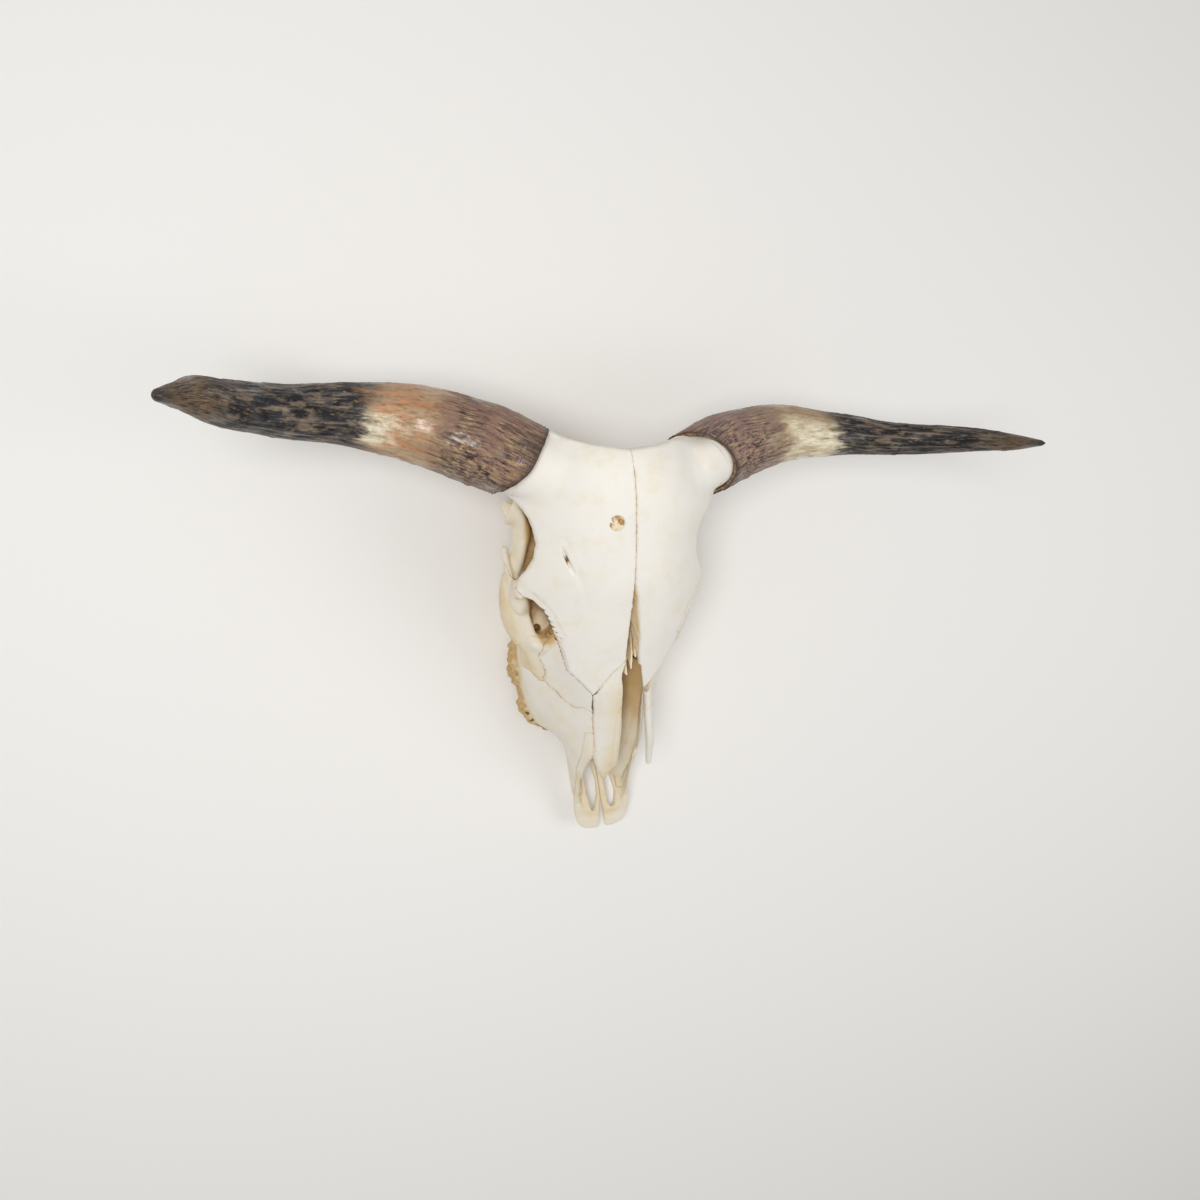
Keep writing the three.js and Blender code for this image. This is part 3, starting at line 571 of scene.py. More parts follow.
def tooth_crust():
    """Lumps of bone along the outer edge of the right tooth row."""
    def distance(x, y, z):
        row = tooth_row(y)
        lumps = 2.0 + 3.4 * noise(x, y, z, 7.5) + 3.0 * noise(x, y, z, 3.4)
        further_back = smoothstep(y, 186, 194) * (1 - smoothstep(y, 232, 244))
        lumpy = smoothstep(y, 124, 132) * (1 - smoothstep(y, 166, 174)) + further_back
        away = np.sqrt((-x - row + 1.5) ** 2 + ((z - 13) * 0.75) ** 2) - 6.0
        ends = np.maximum(2.5 - z, np.maximum(126 - y, y - 246))
        return np.maximum(away - lumps * lumpy + 2.2 * (1 - lumpy), ends)

    return Shape((-96, 124, 2), (-26, 248, 30), distance)


def carve_skull():
    """The whole skull in one piece, with the forms of its snout and its nose."""
    whole = Field(*SKULL_BOX)
    snout = sectioned((-92, 1.6, 19), (92, 282, 205), snout_outline, roof_line,
                      lambda y: PALATE_UNDERSIDE + 26 * smoothstep(y, 262, 284))
    whole.add(snout)
    slab = roof_slab()
    flat = upright(FRONTAL_PLAN + on_side(RIGHT, FRONTAL_PLAN)[1:-1][::-1], 0.5)
    whole.add(Shape((-106, 205, 120), (106, 486, 240), lambda x, y, z: (
        soft_max(slab(x, y, z), flat.distance(x, y, z), 3.0))), 1.5)
    whole.add(braincase_core(), 4)
    whole.add(occiput(), 5)
    for side in (RIGHT, LEFT):
        for form, soft in neck_forms(side):
            whole.add(form, soft)
    canal = bar([(0, 405, 76), (0, 480, 72)], level(18), level(19), (0, 0, 1), 4)
    whole.cut(canal, 3)
    cavity = sectioned((-50, 18, 26), (50, 332, 190), cavity_outline, cavity_ceiling, cavity_floor)
    whole.cut(cavity, 1.0)
    vault = ball((0, 190, 14), (46, 110, 11))
    whole.cut(vault, 4)
    for side in (RIGHT, LEFT):
        orbit = ball((side * 84, 299, 132), (30, 31, 34))
        orbit_floor = ball((side * 73, 286, 85), (19, 34, 20))
        whole.cut(orbit, 3)
        whole.add(orbit_floor, 6)
        for form, soft in cheek_bars(side):
            whole.add(form, soft)
        corner, arch_end = ball((side * 90, 308, 112), (10, 15, 13)), ball((side * 97, 404, 113), (9, 17, 12))
        whole.add(corner, 4)
        whole.add(arch_end, 5)
        whole.add(pedicle(side), 9)
        for form, soft in teeth(side):
            whole.add(form, soft)
        temple_floor = ball((side * 64, 352, 82), (26, 54, 22))
        whole.add(temple_floor, 8)
        whole.add(ball((side * BULLA[0], *BULLA[1:]), (11, 16, 13)), 2)
    behind_left_horn = ball((76, 491, 200), (29, 20, 28))
    whole.cut(behind_left_horn, 8)
    whole.add(tooth_crust(), 1.5)
    surface_details(whole)
    return whole, snout, cavity


def from_drill_hole(x, y):
    return np.sqrt((x - DRILL_HOLE[0]) ** 2 + (y - DRILL_HOLE[1]) ** 2)


def surface_details(whole):
    """Grooves, holes, swellings and seams' edges that are finer than the main forms."""
    # The slit over the right eye and the shallow groove that runs through it.
    groove = [(-68, 380, 209), (-61, 360, 210), (-52, 330, 206), (-44, 300, 198)]
    whole.cut(bar(groove, level(4.5), level(2.6), (0, 0, 1), 12), 3.0)
    slit = [(-64, 370, 209), (-61, 361, 204), (-57, 351, 209)]
    whole.cut(bar(slit, level(1.7), level(7), (0, 0, 1), 6), 1.0)
    # The groove between the nasal bone and the cheek.
    for side in (RIGHT, LEFT):
        line = mirrored(side, [(33, 200, 149), (33, 175, 136), (30, 144, 124), (29, 122, 114)])
        whole.cut(bar(line, level(5.5), level(5.5), (0, 0, 1), 8), 2.5)
    # The drilled hole in the forehead, with the spongy bone that shows in it.
    drill = bar([(-19, 397, 245), (-17, 393, 214)], level(7), level(7), (0, 1, 0), 4)
    whole.cut(drill, 0.6)
    whole.add(Shape((-28, 386, 208), (-8, 408, 230), lambda x, y, z: np.maximum(
        z - 224 - 9 * rough(x, y, z, 6), from_drill_hole(x, y) - 9)), 0.5)
    # Nerve holes of the cheek, and the hole in the swelling inside the orbit.
    for side in (RIGHT, LEFT):
        cheek_hole = bar(mirrored(side, [(50, 126, 30), (42, 138, 38)]), level(3), level(3.6), (0, 0, 1), 4)
        whole.cut(cheek_hole, 2)
        whole.cut(ball((side * SOCKET_HOLE[0], SOCKET_HOLE[1], 115), (3.5, 4.5, 10)), 1.0)
    # Broken sockets of the right front cheek teeth.
    for y, depth in ((138, 5), (149, 6), (158, 5)):
        whole.cut(ball((3 - float(tooth_row(y)), y, 19), (6, 4.2, depth)), 1.2)
    # Teeth of bone along the frontal's edge over each orbit.
    rim = upright(FRONTAL_PLAN)
    for side in (RIGHT, LEFT):
        def notch(x, y, z, side=side):
            across = np.abs((y - 0.55 * side * x) / 4.6 % 1 - 0.5) * 4.6
            return np.maximum(across - 0.75, np.abs(rim.distance(side * x, y, z) + 1.2) - 1.9)
        whole.cut(Shape((side * 78 - 12, 276, 150), (side * 78 + 12, 310, 215), notch), 0.5)


# ---- Meshes ----

def main_body(count, faces):
    """Which points belong to the biggest connected body."""
    label = np.arange(count)
    ends = np.concatenate([faces[:, [i, (i + 1) % faces.shape[1]]] for i in range(faces.shape[1])])
    while True:
        low = np.minimum(label[ends[:, 0]], label[ends[:, 1]])
        before = label.copy()
        np.minimum.at(label, ends[:, 0], low)
        np.minimum.at(label, ends[:, 1], low)
        label = label[label]
        if np.array_equal(before, label):
            break
    return label == np.bincount(label).argmax()


OFFSET = Vector((-29, 90, 0)) / 1000 - Vector((*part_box("nasal_right")[0][:2], 0))


def shrink_to_frame(points):
    return skewed(points) / 1000 - np.array(OFFSET)


def make_mesh(name, points, faces, marks):
    """A smooth mesh whose points keep the given marks."""
    mesh = bpy.data.meshes.new(name)
    corners = faces.shape[1]
    mesh.vertices.add(len(points))
    mesh.vertices.foreach_set("co", points.astype(np.float32).ravel())
    mesh.loops.add(faces.size)
    mesh.loops.foreach_set("vertex_index", faces.astype(np.int32).ravel())
    mesh.polygons.add(len(faces))
    mesh.polygons.foreach_set("loop_start", np.arange(0, faces.size, corners, dtype=np.int32))
    mesh.polygons.foreach_set("use_smooth", np.ones(len(faces), bool))
    mesh.update(calc_edges=True)
    mesh.validate()
    for mark, values in marks.items():
        layer = mesh.attributes.new(mark, "FLOAT", "POINT")
        layer.data.foreach_set("value", np.asarray(values, np.float32))
    piece = bpy.data.objects.new(name, mesh)
    bpy.context.scene.collection.objects.link(piece)
    return piece


def skin_of(field):
    """Points and faces where a field is zero, turned outwards."""
    values = np.pad(field.values, 1, constant_values=3 * CELL)
    grid = openvdb.FloatGrid(background=3 * CELL)
    grid.copyFromArray(np.clip(values, -3 * CELL, 3 * CELL))
    points, triangles, quads = grid.convertToPolygons(isovalue=0.0, adaptivity=0.0)
    points = points.astype(float) * CELL + field.low - CELL
    a, b, c, d = (points[quads[:, i]] for i in range(4))
    volume = np.einsum("ij,ij->i", a, np.cross(b, c) + np.cross(c, d)).sum()
    faces = quads if volume > 0 else quads[:, ::-1]
    keep = main_body(len(points), faces)
    new_index = np.cumsum(keep) - 1
    faces = new_index[faces[keep[faces[:, 0]]]]
    return points[keep], faces


def blurred(values, reach):
    """A field's occupancy averaged over boxes, twice over."""
    solid = np.clip(0.5 - values / (2 * CELL), 0, 1)
    cells = max(int(round(reach / CELL)), 1)
    for _ in range(2):
        for axis in range(3):
            padding = [(0, 0)] * 3
            padding[axis] = (cells + 1, cells)
            total = np.cumsum(np.pad(solid, padding), axis=axis, dtype=np.float32)
            count = solid.shape[axis]
            upper = np.take(total, np.arange(2 * cells + 1, 2 * cells + 1 + count), axis=axis)
            lower = np.take(total, np.arange(0, count), axis=axis)
            solid = (upper - lower) / (2 * cells + 1)
    return solid


# ---- Horn sheaths ----

# How deep a sheath is hollow, and its wall at the rim.
DOME = 60.0
SHEATH_WALL = {RIGHT: 3.5, LEFT: 5.5}


def sheath_wall_room(side):
    """Where the bone may not be: in a sheath's wall, or past the end of its hollow."""
    centre, radii, along, face, poll, _ = horn_frames(side, 400)
    base, inward, up, back = centre[0], along[0], face[0], poll[0]
    rim_radius = radii[0]

    def distance(x, y, z):
        px, py, pz = x - base[0], y - base[1], z - base[2]
        depth = px * inward[0] + py * inward[1] + pz * inward[2]
        rising = px * up[0] + py * up[1] + pz * up[2]
        backward = px * back[0] + py * back[1] + pz * back[2]
        away = np.sqrt(rising ** 2 + backward ** 2) + 0.1
        depth = depth - rim_shift(side, rising / away, backward / away) * np.clip(1 - depth / DOME, 0, 1)
        free = (rim_radius - SHEATH_WALL[side] - 0.5) * np.sqrt(np.clip(1 - (depth / (DOME - 6)) ** 2, 0, 1))
        return np.maximum(free - away, -depth - 0.6)

    return Shape(base - 80, base + 80, distance)


def horn_sheath(side):
    count, sides = ((440, 230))
    centre, radii, along, face, poll, length = horn_frames(side, count)
    angle = np.linspace(0, 2 * math.pi, sides, endpoint=False)[None, :]
    way = np.linspace(0, 1, count)[:, None]
    run = way * length
    ones = np.ones_like(way * angle)
    up, back = np.cos(angle) * ones, np.sin(angle) * ones
    u, v, w = run * ones, 25 * up, 25 * back
    rugged = (1 - smoothstep(way, 0.9, 1.0) * 0.7) * smoothstep(radii[:, None], 3, 12)
    swell = 0.9 * noise(u / 2, v, w, 19) + 0.55 * noise(u / 12, v, w, 3.4) + 0.35 * noise(u / 9, v, w, 1.5)
    small_flakes = 0.7 * np.clip(rough(u / 5 + 90, v, w, 2.6) - 0.2, 0, 1)
    flakes = np.clip(rough(u / 2.0, v, w, 5) - 0.16, 0, 1) + small_flakes
    rim = np.exp(-run / 8)
    layers = rim * (0.7 * np.sin(run * 1.7 + 1.6 * noise(u, v, w, 22)) - 1.0 + 0.8 * rough(u, v, w, 5))
    radius = radii[:, None] - 0.9 + rugged * (swell + 1.1 * flakes) + layers
    radius = radius + 0.5 * noise(u, v / 3, w / 3, 11) * (1 - way)
    radius = radius * np.sqrt(np.clip((1.0005 - way) / 0.014, 0.0, 1))
    slant = rim_shift(side, up, back) * np.clip(1 - run / DOME, 0, 1) + rim * 1.4 * rough(u + 300, v, w, 8)
    upward, backward = (radius * up)[..., None] * face[:, None], (radius * back)[..., None] * poll[:, None]
    outer = centre[:, None] + upward + backward + slant[..., None] * along[:, None]
    deep = 26
    depth = np.sin(np.linspace(0, 0.5 * math.pi, deep))[:, None] * DOME
    narrowing = np.sqrt(np.clip(1 - (depth / DOME) ** 2, 0, 1))
    bore = (radii[0] - SHEATH_WALL[side]) * narrowing * np.ones_like(angle) + 0.01
    into = depth + rim_shift(side, np.cos(angle), np.sin(angle)) * np.clip(1 - depth / DOME, 0, 1)
    inner = (centre[0] + into[..., None] * along[0] + (bore * np.cos(angle))[..., None] * face[0]
             + (bore * np.sin(angle))[..., None] * poll[0])
    rings = np.concatenate((inner[::-1], outer))
    at = np.arange(len(rings) * sides).reshape(len(rings), sides)
    quads = np.stack((at[:-1], at[1:], np.roll(at[1:], -1, 1), np.roll(at[:-1], -1, 1)), -1).reshape(-1, 4)
    hidden = np.zeros((deep, sides))
    marks = {
        "way": np.concatenate((hidden, way * ones)).ravel(),
        "up": np.concatenate((np.cos(angle) + hidden, up)).ravel(),
        "back": np.concatenate((np.sin(angle) + hidden, back)).ravel(),
        "rim": np.concatenate((hidden, np.exp(-run / 3) * ones)).ravel(),
        "inside": np.concatenate((hidden + 1, 0 * ones)).ravel(),
        "flake": np.concatenate((hidden, np.clip(flakes * 2.2, 0, 1) * rugged)).ravel(),
    }
    name = f"horn_sheath_{SIDE_NAMES[side]}_keratin"
    horn = make_mesh(name, shrink_to_frame(rings.reshape(-1, 3)), quads, marks)
    close_ends(horn)
    return horn


def close_ends(piece):
    """Fills a tube's two end rings and turns its faces outwards."""
    mesh = bmesh.new()
    mesh.from_mesh(piece.data)
    bmesh.ops.holes_fill(mesh, edges=[e for e in mesh.edges if e.is_boundary], sides=0)
    bmesh.ops.recalc_face_normals(mesh, faces=mesh.faces)
    mesh.to_mesh(piece.data)
    mesh.free()


# ---- Parting the bones ----

def frontal_region(side):
    slab = roof_slab(extra=1.0, raised=60)
    flat = upright(on_side(side, FRONTAL_PLAN), 0.5)
    collar = pedicle(side, 12)

    def distance(x, y, z):
        upper = np.maximum(slab(x, y, z), flat.distance(x, y, z))
        return np.minimum(upper, np.maximum(collar.distance(x, y, z), -side * x + 0.4))

    low = np.minimum(flat.low, collar.low)
    high = np.maximum(flat.high, collar.high)
    return Shape((low[0], low[1], 120), (high[0], high[1], 244), distance)


def frontal_gap():
    """The cleft beside the left frontal bone: its wall slants inwards and is ribbed."""
    cleft = upright(FRONTAL_GAP, 0.5)

    def distance(x, y, z):
        below = np.clip(roof_line(y) - z, 0, 40)
        ribs = 0.8 * noise(x * 0 + below, y / 5, z, 3.2)
        return cleft.distance(x, y, z) + 0.42 * below + ribs * smoothstep(below, 1, 4)

    return Shape((-30, 200, 100), (24, 345, 244), distance)


def right_nasal(stock):
    """The right nasal bone, rounded across, with a gap at its corner to the frontal bone."""
    nasal = stock.taken(plan_block(on_side(RIGHT, NASAL_PLAN), 84, 300, 0.35), 0.1, 2.0)
    where, x, y, z = nasal.block((-40, 80, 80), (20, 250, 190))
    crown = 3.4 * np.clip(1 - ((x + 8) / 17) ** 2, 0, 1)
    nasal.values[where] -= crown * smoothstep(y, 92, 130) * (1 - smoothstep(y, 205, 235))
    corner = [(-30, 204), (-17, 222.5), (-15.5, 224.5), (-25.5, 208)]
    nasal.cut(plan_block(corner, 100, 300, 0.4), 0.6)
    return nasal


def premaxilla_of(side, stock, snout):
    """A premaxilla. Its side lies a little inside the maxilla's, and a crack parts the two."""
    reach = (0.2, 80) if side == LEFT else (-80, -0.2)
    wall = side_block(PREMAXILLA_SIDE, *reach, 0.4)
    prongs = plan_block(on_side(side, PREMAXILLA_PRONGS), 10, 32)

    def seam(x, y, z):
        return np.minimum(wall.distance(x, y, z), prongs.distance(x, y, z))

    premaxilla = stock.taken(Shape(wall.low, wall.high, seam), 0.0, 0.0)
    stock.cut(Shape((wall.low[0], 50, 36), wall.high, lambda x, y, z: np.abs(seam(x, y, z)) - 0.5))
    where, x, y, z = premaxilla.block((-90, 20, -5), (90, 110, 140))
    inset = 2.0 * smoothstep(y, 34, 50) * (1 - smoothstep(y, 82, 104))
    premaxilla.values[where] = soft_max(premaxilla.values[where], snout.distance(x, y, z) + inset, 1.0)
    return premaxilla


def part_bones(stock, snout):
    """Each bone's own field, by its name."""
    bones = {"nasal_right": right_nasal(stock)}
    stock.cut(plan_block([(-4, 241), (21, 241), (30, 207), (30, 100), (-6, 90)], 96, 300, 0.3), 1.0)
    stock.cut(side_block(NOSE_OPENING_SIDE, -80, 80, 0.5), 1.5)
    for side in (RIGHT, LEFT):
        name = SIDE_NAMES[side]
        frontal = stock.taken(frontal_region(side))
        if side == LEFT:
            frontal.cut(frontal_gap(), 1.5)
        bones[f"frontal_{name}"] = frontal
        bones[f"lacrimal_{name}"] = stock.taken(plan_block(on_side(side, LACRIMAL_PLAN), 84, 300, 0.9))
        bones[f"zygomatic_{name}"] = stock.taken(plan_block(on_side(side, ZYGOMATIC_PLAN), 60, 158, 0.7))
    for side in (RIGHT, LEFT):
        name = SIDE_NAMES[side]
        bones[f"premaxilla_{name}"] = premaxilla_of(side, stock, snout)
        maxilla = stock.taken(plan_block(on_side(side, MAXILLA_PLAN), -5, 170, 0.4))
        if side == LEFT:
            maxilla.add(scroll(), 2.0)
        bones[f"maxilla_{name}"] = maxilla
    nose_plates(stock)
    for node, piece in bones.items():
        if not node.startswith(("zygomatic", "premaxilla")):
            stock.keep_clear(piece)
    bones["braincase"] = stock
    return bones


def carve_fissures(whole):
    """The gaps between and beside the tips of the snout."""
    notch = [(-4, -10), (4, -10), (3, 14), (0.8, 36), (-0.8, 36), (-3, 14)]
    right_fissure = [(-12, 25), (-9, 25), (-4, 42), (-3, 64), (-7, 82), (-13, 92), (-16, 78), (-16, 46)]
    left_fissure = [(8, 34), (12, 26), (16, 28), (18, 44), (15, 62), (11, 72), (7, 60)]
    for side in (RIGHT, LEFT):
        whole.add(ball((side * 14, 16, 24.5), (14, 14, 9)), 5)
    for gap in (notch, right_fissure, left_fissure):
        whole.cut(plan_block(gap, 0, 60), 3.0)


def scroll():
    """The smooth scroll of bone on the inner wall of the open side of the nose."""
    line = [(17, 74, 44), (18, 100, 63), (20, 135, 87), (22, 170, 107), (23, 205, 122), (20, 240, 136)]
    half_width = profile([(0, 9), (0.3, 16), (0.6, 21), (0.8, 24), (1, 20)])
    return leaf(line, (0.82, 0, 0.57), half_width, level(2.2), 20)


def sheet(x0, front, back, low, top, thick, slant=0.0):
    """A thin waved plate along the skull, with a ragged front edge."""
    def distance(x, y, z):
        waved = x - x0 - slant * (z - top) - 1.2 * noise(y + 0 * x, z + 0 * x, 0 * x + x0, 17)
        edge = front + 10 * noise(z + 0 * x, 0 * y + x0, 0 * x, 9)
        ends = np.maximum(np.maximum(edge - y, y - back), np.maximum(low - z, z - top))
        return np.maximum(np.abs(waved) - thick, ends)

    reach = abs(slant) * (top - low) + 4
    return Shape((x0 - reach, front - 12, low), (x0 + reach, back, top), distance)


def nose_plates(whole):
    """The septum, the thin plates and the ragged mass at the back of the nose, and the wings under it."""
    whole.add(sheet(0, 214, 336, 24, 118, 1.0), 0.5)
    plates = ((4, 224, 164, 0.30), (9, 238, 169, 0.34), (13, 252, 171, 0.2), (-9, 246, 150, 0.0))
    for x0, front, top, slant in plates:
        whole.add(sheet(x0, front, 338, top - 17, top, 1.2, slant), 0.5)
    mass = ball((5, 214, 138), (10, 10, 13))
    whole.add(Shape(mass.low - 4, mass.high + 4, lambda x, y, z: (
        mass.distance(x, y, z) + 5.5 * rough(x, y, z, 8) + 1)), 1.0)
    for side in (RIGHT, LEFT):
        wing = side_block([(238, 60), (252, 24), (300, 20), (330, 40), (336, 90), (262, 90)],
                          side * 23 - 2.5, side * 23 + 2.5)
        whole.add(wing, 2.0)


def displaced_nasal():
    """The left nasal bone, slipped down beside the nose."""
    line = [(28, 232, 163), (33, 206, 150), (36, 160, 133), (40, 109, 108)]
    half_width = profile([(0, 5), (0.2, 9), (0.6, 9), (0.85, 6), (1, 3.4)])
    half_thick = profile([(0, 3.2), (0.3, 4.9), (0.8, 4.3), (1, 3.2)])
    field = Field((10, 95, 90), (56, 245, 185))
    field.add(leaf(line, (0.45, 0, -0.9), half_width, half_thick))
    field.cut(plan_block(on_side(LEFT, FRONTAL_PLAN), 0, 300, 0.5), 0)
    return field


# ---- Marks on the bone that its material reads ----

def seam_nearness(points, side):
    """How near each point is to a seam seen from above, from 0 to 1."""
    nearest = np.full(len(points), 99.0)
    for outline in (FRONTAL_PLAN, LACRIMAL_PLAN, ZYGOMATIC_PLAN, NASAL_PLAN):
        x = points[:, 0] * side
        nearest = np.minimum(nearest, np.abs(outline_distance(outline, x, points[:, 1])))
    return 1 - smoothstep(nearest, 0.2, 2.4)


# How far each bone has yellowed all over.
YELLOWED = {"frontal": 0.02, "nasal": 0.10, "lacrimal": 0.13, "maxilla": 0.17, "zygomatic": 0.32,
            "premaxilla": 0.30, "braincase": 0.28}


def stain_and_shade_marks(node, x, y, z, hollow, cavity_skin):
    """How yellowed each point is, partly from staining and partly as painted shade, and how dark the painted
    shade on it is.
    """
    on_roof = roof_height(x, y) - z
    temple = smoothstep(on_roof, 8, 30) * smoothstep(y, 318, 334) * (1 - smoothstep(np.abs(x), 78, 86))
    temple = temple * (1 - smoothstep(y, 428, 440))
    orbit = 1 - smoothstep(away_from((76, 299, 132), x, y, z), 30, 42)
    orbit = orbit * smoothstep(on_roof, 4, 14) * (1 - smoothstep(np.abs(x) - 0.2 * (y - 280), 76, 82))
    orbit = orbit * (1 - 0.75 * (1 - smoothstep(away_from(BULLA, x, y, z), 14, 20)))
    cleft = smoothstep(on_roof, 1, 5) * (np.abs(x - 9) < 22) * smoothstep(y, 204, 214) * (y < 345) * (z > 100)
    plates = (x < 14) * (x > -6) * (y > 218) * (y < 345) * (z > 145)
    cavity_skin, cleft = cavity_skin * (1 - 0.6 * plates), cleft * (1 - 0.5 * plates)
    yellowed = YELLOWED[node.split("_")[0]]
    if node.startswith("maxilla"):
        yellowed = yellowed + (YELLOWED["premaxilla"] - yellowed) * smoothstep(120 - y, 0, 60)
    # Yellower in hollows: partly real staining, partly painted shade from how enclosed each point is.
    ochre = yellowed + hollow * smoothstep(y, 30, 80) + cavity_skin * (0.20 + 0.55 * smoothstep(y, 100, 215))
    ochre = ochre + 0.85 * temple + 0.85 * orbit + 0.40 * cleft + 0.10 * smoothstep(y, 425, 462)
    ochre = ochre + 0.16 * smoothstep(y, 446, 464) * smoothstep(on_roof, 1, 14)
    row_edge = smoothstep(np.abs(x) - tooth_row(y), -9, 3) * smoothstep(64 - z, 0, 40) * (y > 112)
    ochre = ochre + 0.6 * row_edge + 0.4 * smoothstep(26 - z, 0, 12) * (y > 115)
    # Painted shade: the lower part of each cheek bone is painted tan.
    if node.startswith("zygomatic"):
        ochre = ochre + 0.32 * (1 - smoothstep(z, 92, 112))
    # Painted shade: the right nasal's side towards the middle is painted tan, as the shading of its rounded
    # top.
    if node == "nasal_right":
        ochre = ochre + 0.34 * smoothstep(x, -18, -4) * (1 - smoothstep(y, 200, 236))
        ochre = ochre + 0.2 * smoothstep(130 - y, 0, 30)
    drilled = 1 - smoothstep(from_drill_hole(x, y), 8, 9.5)
    ochre = ochre + 0.5 * drilled * smoothstep(on_roof, 0.5, 4) + 0.10 * rough(x, y, z, 26)
    # Painted shade deep in the back and lower part of the nose.
    dark = smoothstep(y, 236, 268) * cavity_skin * smoothstep(158 - z, 0, 14)
    # Painted shade in the temple, darker the deeper it lies under the roof.
    dark = np.maximum(dark, 0.55 * temple * smoothstep(on_roof, 30, 90))
    # Painted shade deep in the orbit.
    dark = dark + 0.85 * orbit * smoothstep(on_roof, 26, 50)
    # Painted shade inside the hole in the swelling in each orbit.
    from_hole = np.sqrt((np.abs(x) - SOCKET_HOLE[0]) ** 2 + (y - SOCKET_HOLE[1]) ** 2) + 0.3 * np.abs(z - 108)
    dark = np.maximum(dark, 1 - smoothstep(from_hole, 4.0, 6.0))
    # Painted shade inside the slit over the right eye.
    along_slit = y - EYE_SLIT[1]
    from_slit = np.abs(x - EYE_SLIT[0] - 0.37 * along_slit) + 0.4 * np.maximum(np.abs(along_slit) - 7, 0)
    dark = np.maximum(dark, (1 - smoothstep(from_slit, 1.4, 2.6)) * smoothstep(on_roof, 2.0, 4.0) * (z > 190))
    return np.clip(ochre, 0, 1.2), np.clip(dark, 0, 1), orbit


def away_from(place, x, y, z):
    """How far points are from a place that both sides of the skull have."""
    return np.sqrt((np.abs(x) - place[0]) ** 2 + (y - place[1]) ** 2 + (z - place[2]) ** 2)


def bone_marks(node, points, crowded, coarse, cavity_field):
    """What a bone's paint reads: how yellowed, dark and crusted each point is, and how near a seam. The dark
    is painted shade, and part of the yellowing is painted shade too.
    """
    x, y, z = points.T
    on_roof = roof_height(x, y) - z
    # How enclosed each point is, from the blurred skull: it drives both staining and painted shade in
    # hollows.
    hollow = smoothstep(crowded.sample(points), 0.55, 0.86)
    wide_hollow = smoothstep(coarse.sample(points), 0.52, 0.80)
    cavity_skin = (1 - smoothstep(cavity_field.sample(points), 0.6, 3.2)) * (on_roof > 5)
    ochre, dark, orbit = stain_and_shade_marks(node, x, y, z, 0.45 * hollow + 0.22 * wide_hollow, cavity_skin)
    seams = np.maximum(seam_nearness(points, RIGHT) * (x < 2), seam_nearness(points, LEFT) * (x > -2))
    seams = seams * (1 - smoothstep(on_roof, 30, 44)) * (1 - orbit) * (1 - smoothstep(y, 436, 448))
    middle = (1 - smoothstep(np.abs(x), 0.3, 1.5)) * (y > 330)
    middle = middle * smoothstep(noise(x * 0, y, z * 0, 5.5), -0.2, 0.3)
    crust = smoothstep(32 - z, 0, 8) * smoothstep(np.abs(x) - tooth_row(y), -9, -1) * smoothstep(y, 122, 130)
    return {"ochre": ochre, "dark": dark, "crust": np.clip(crust, 0, 1),
            "seam": np.clip(seams * (0.55 + 0.45 * noise(x, y, z, 7)) + middle, 0, 1)}


# ---- Materials ----

class Signal:
    """A number in a material's node tree. Arithmetic on it adds Math nodes."""

    def __init__(self, paint, socket):
        self.paint, self.socket = paint, socket

    def math(self, operation, *values, clamp=False):
        settings = {"operation": operation, "use_clamp": clamp}
        node = self.paint.node("ShaderNodeMath", settings, dict(enumerate(values)))
        return Signal(self.paint, node.outputs[0])

    def __add__(self, other):
        return self.math("ADD", self, other)

    __radd__ = __add__

    def __sub__(self, other):
        return self.math("SUBTRACT", self, other)

    def __rsub__(self, other):
        return self.math("SUBTRACT", other, self)

    def __mul__(self, other):
        return self.math("MULTIPLY", self, other)

    __rmul__ = __mul__

    def clamped(self):
        return self.math("ADD", self, 0.0, clamp=True)

    def between(self, low, high):
        """Rises smoothly from 0 to 1 as the value goes from low to high."""
        node = self.paint.node("ShaderNodeMapRange", {"interpolation_type": "SMOOTHSTEP"},
                               {"Value": self, "From Min": low, "From Max": high})
        return Signal(self.paint, node.outputs[0])


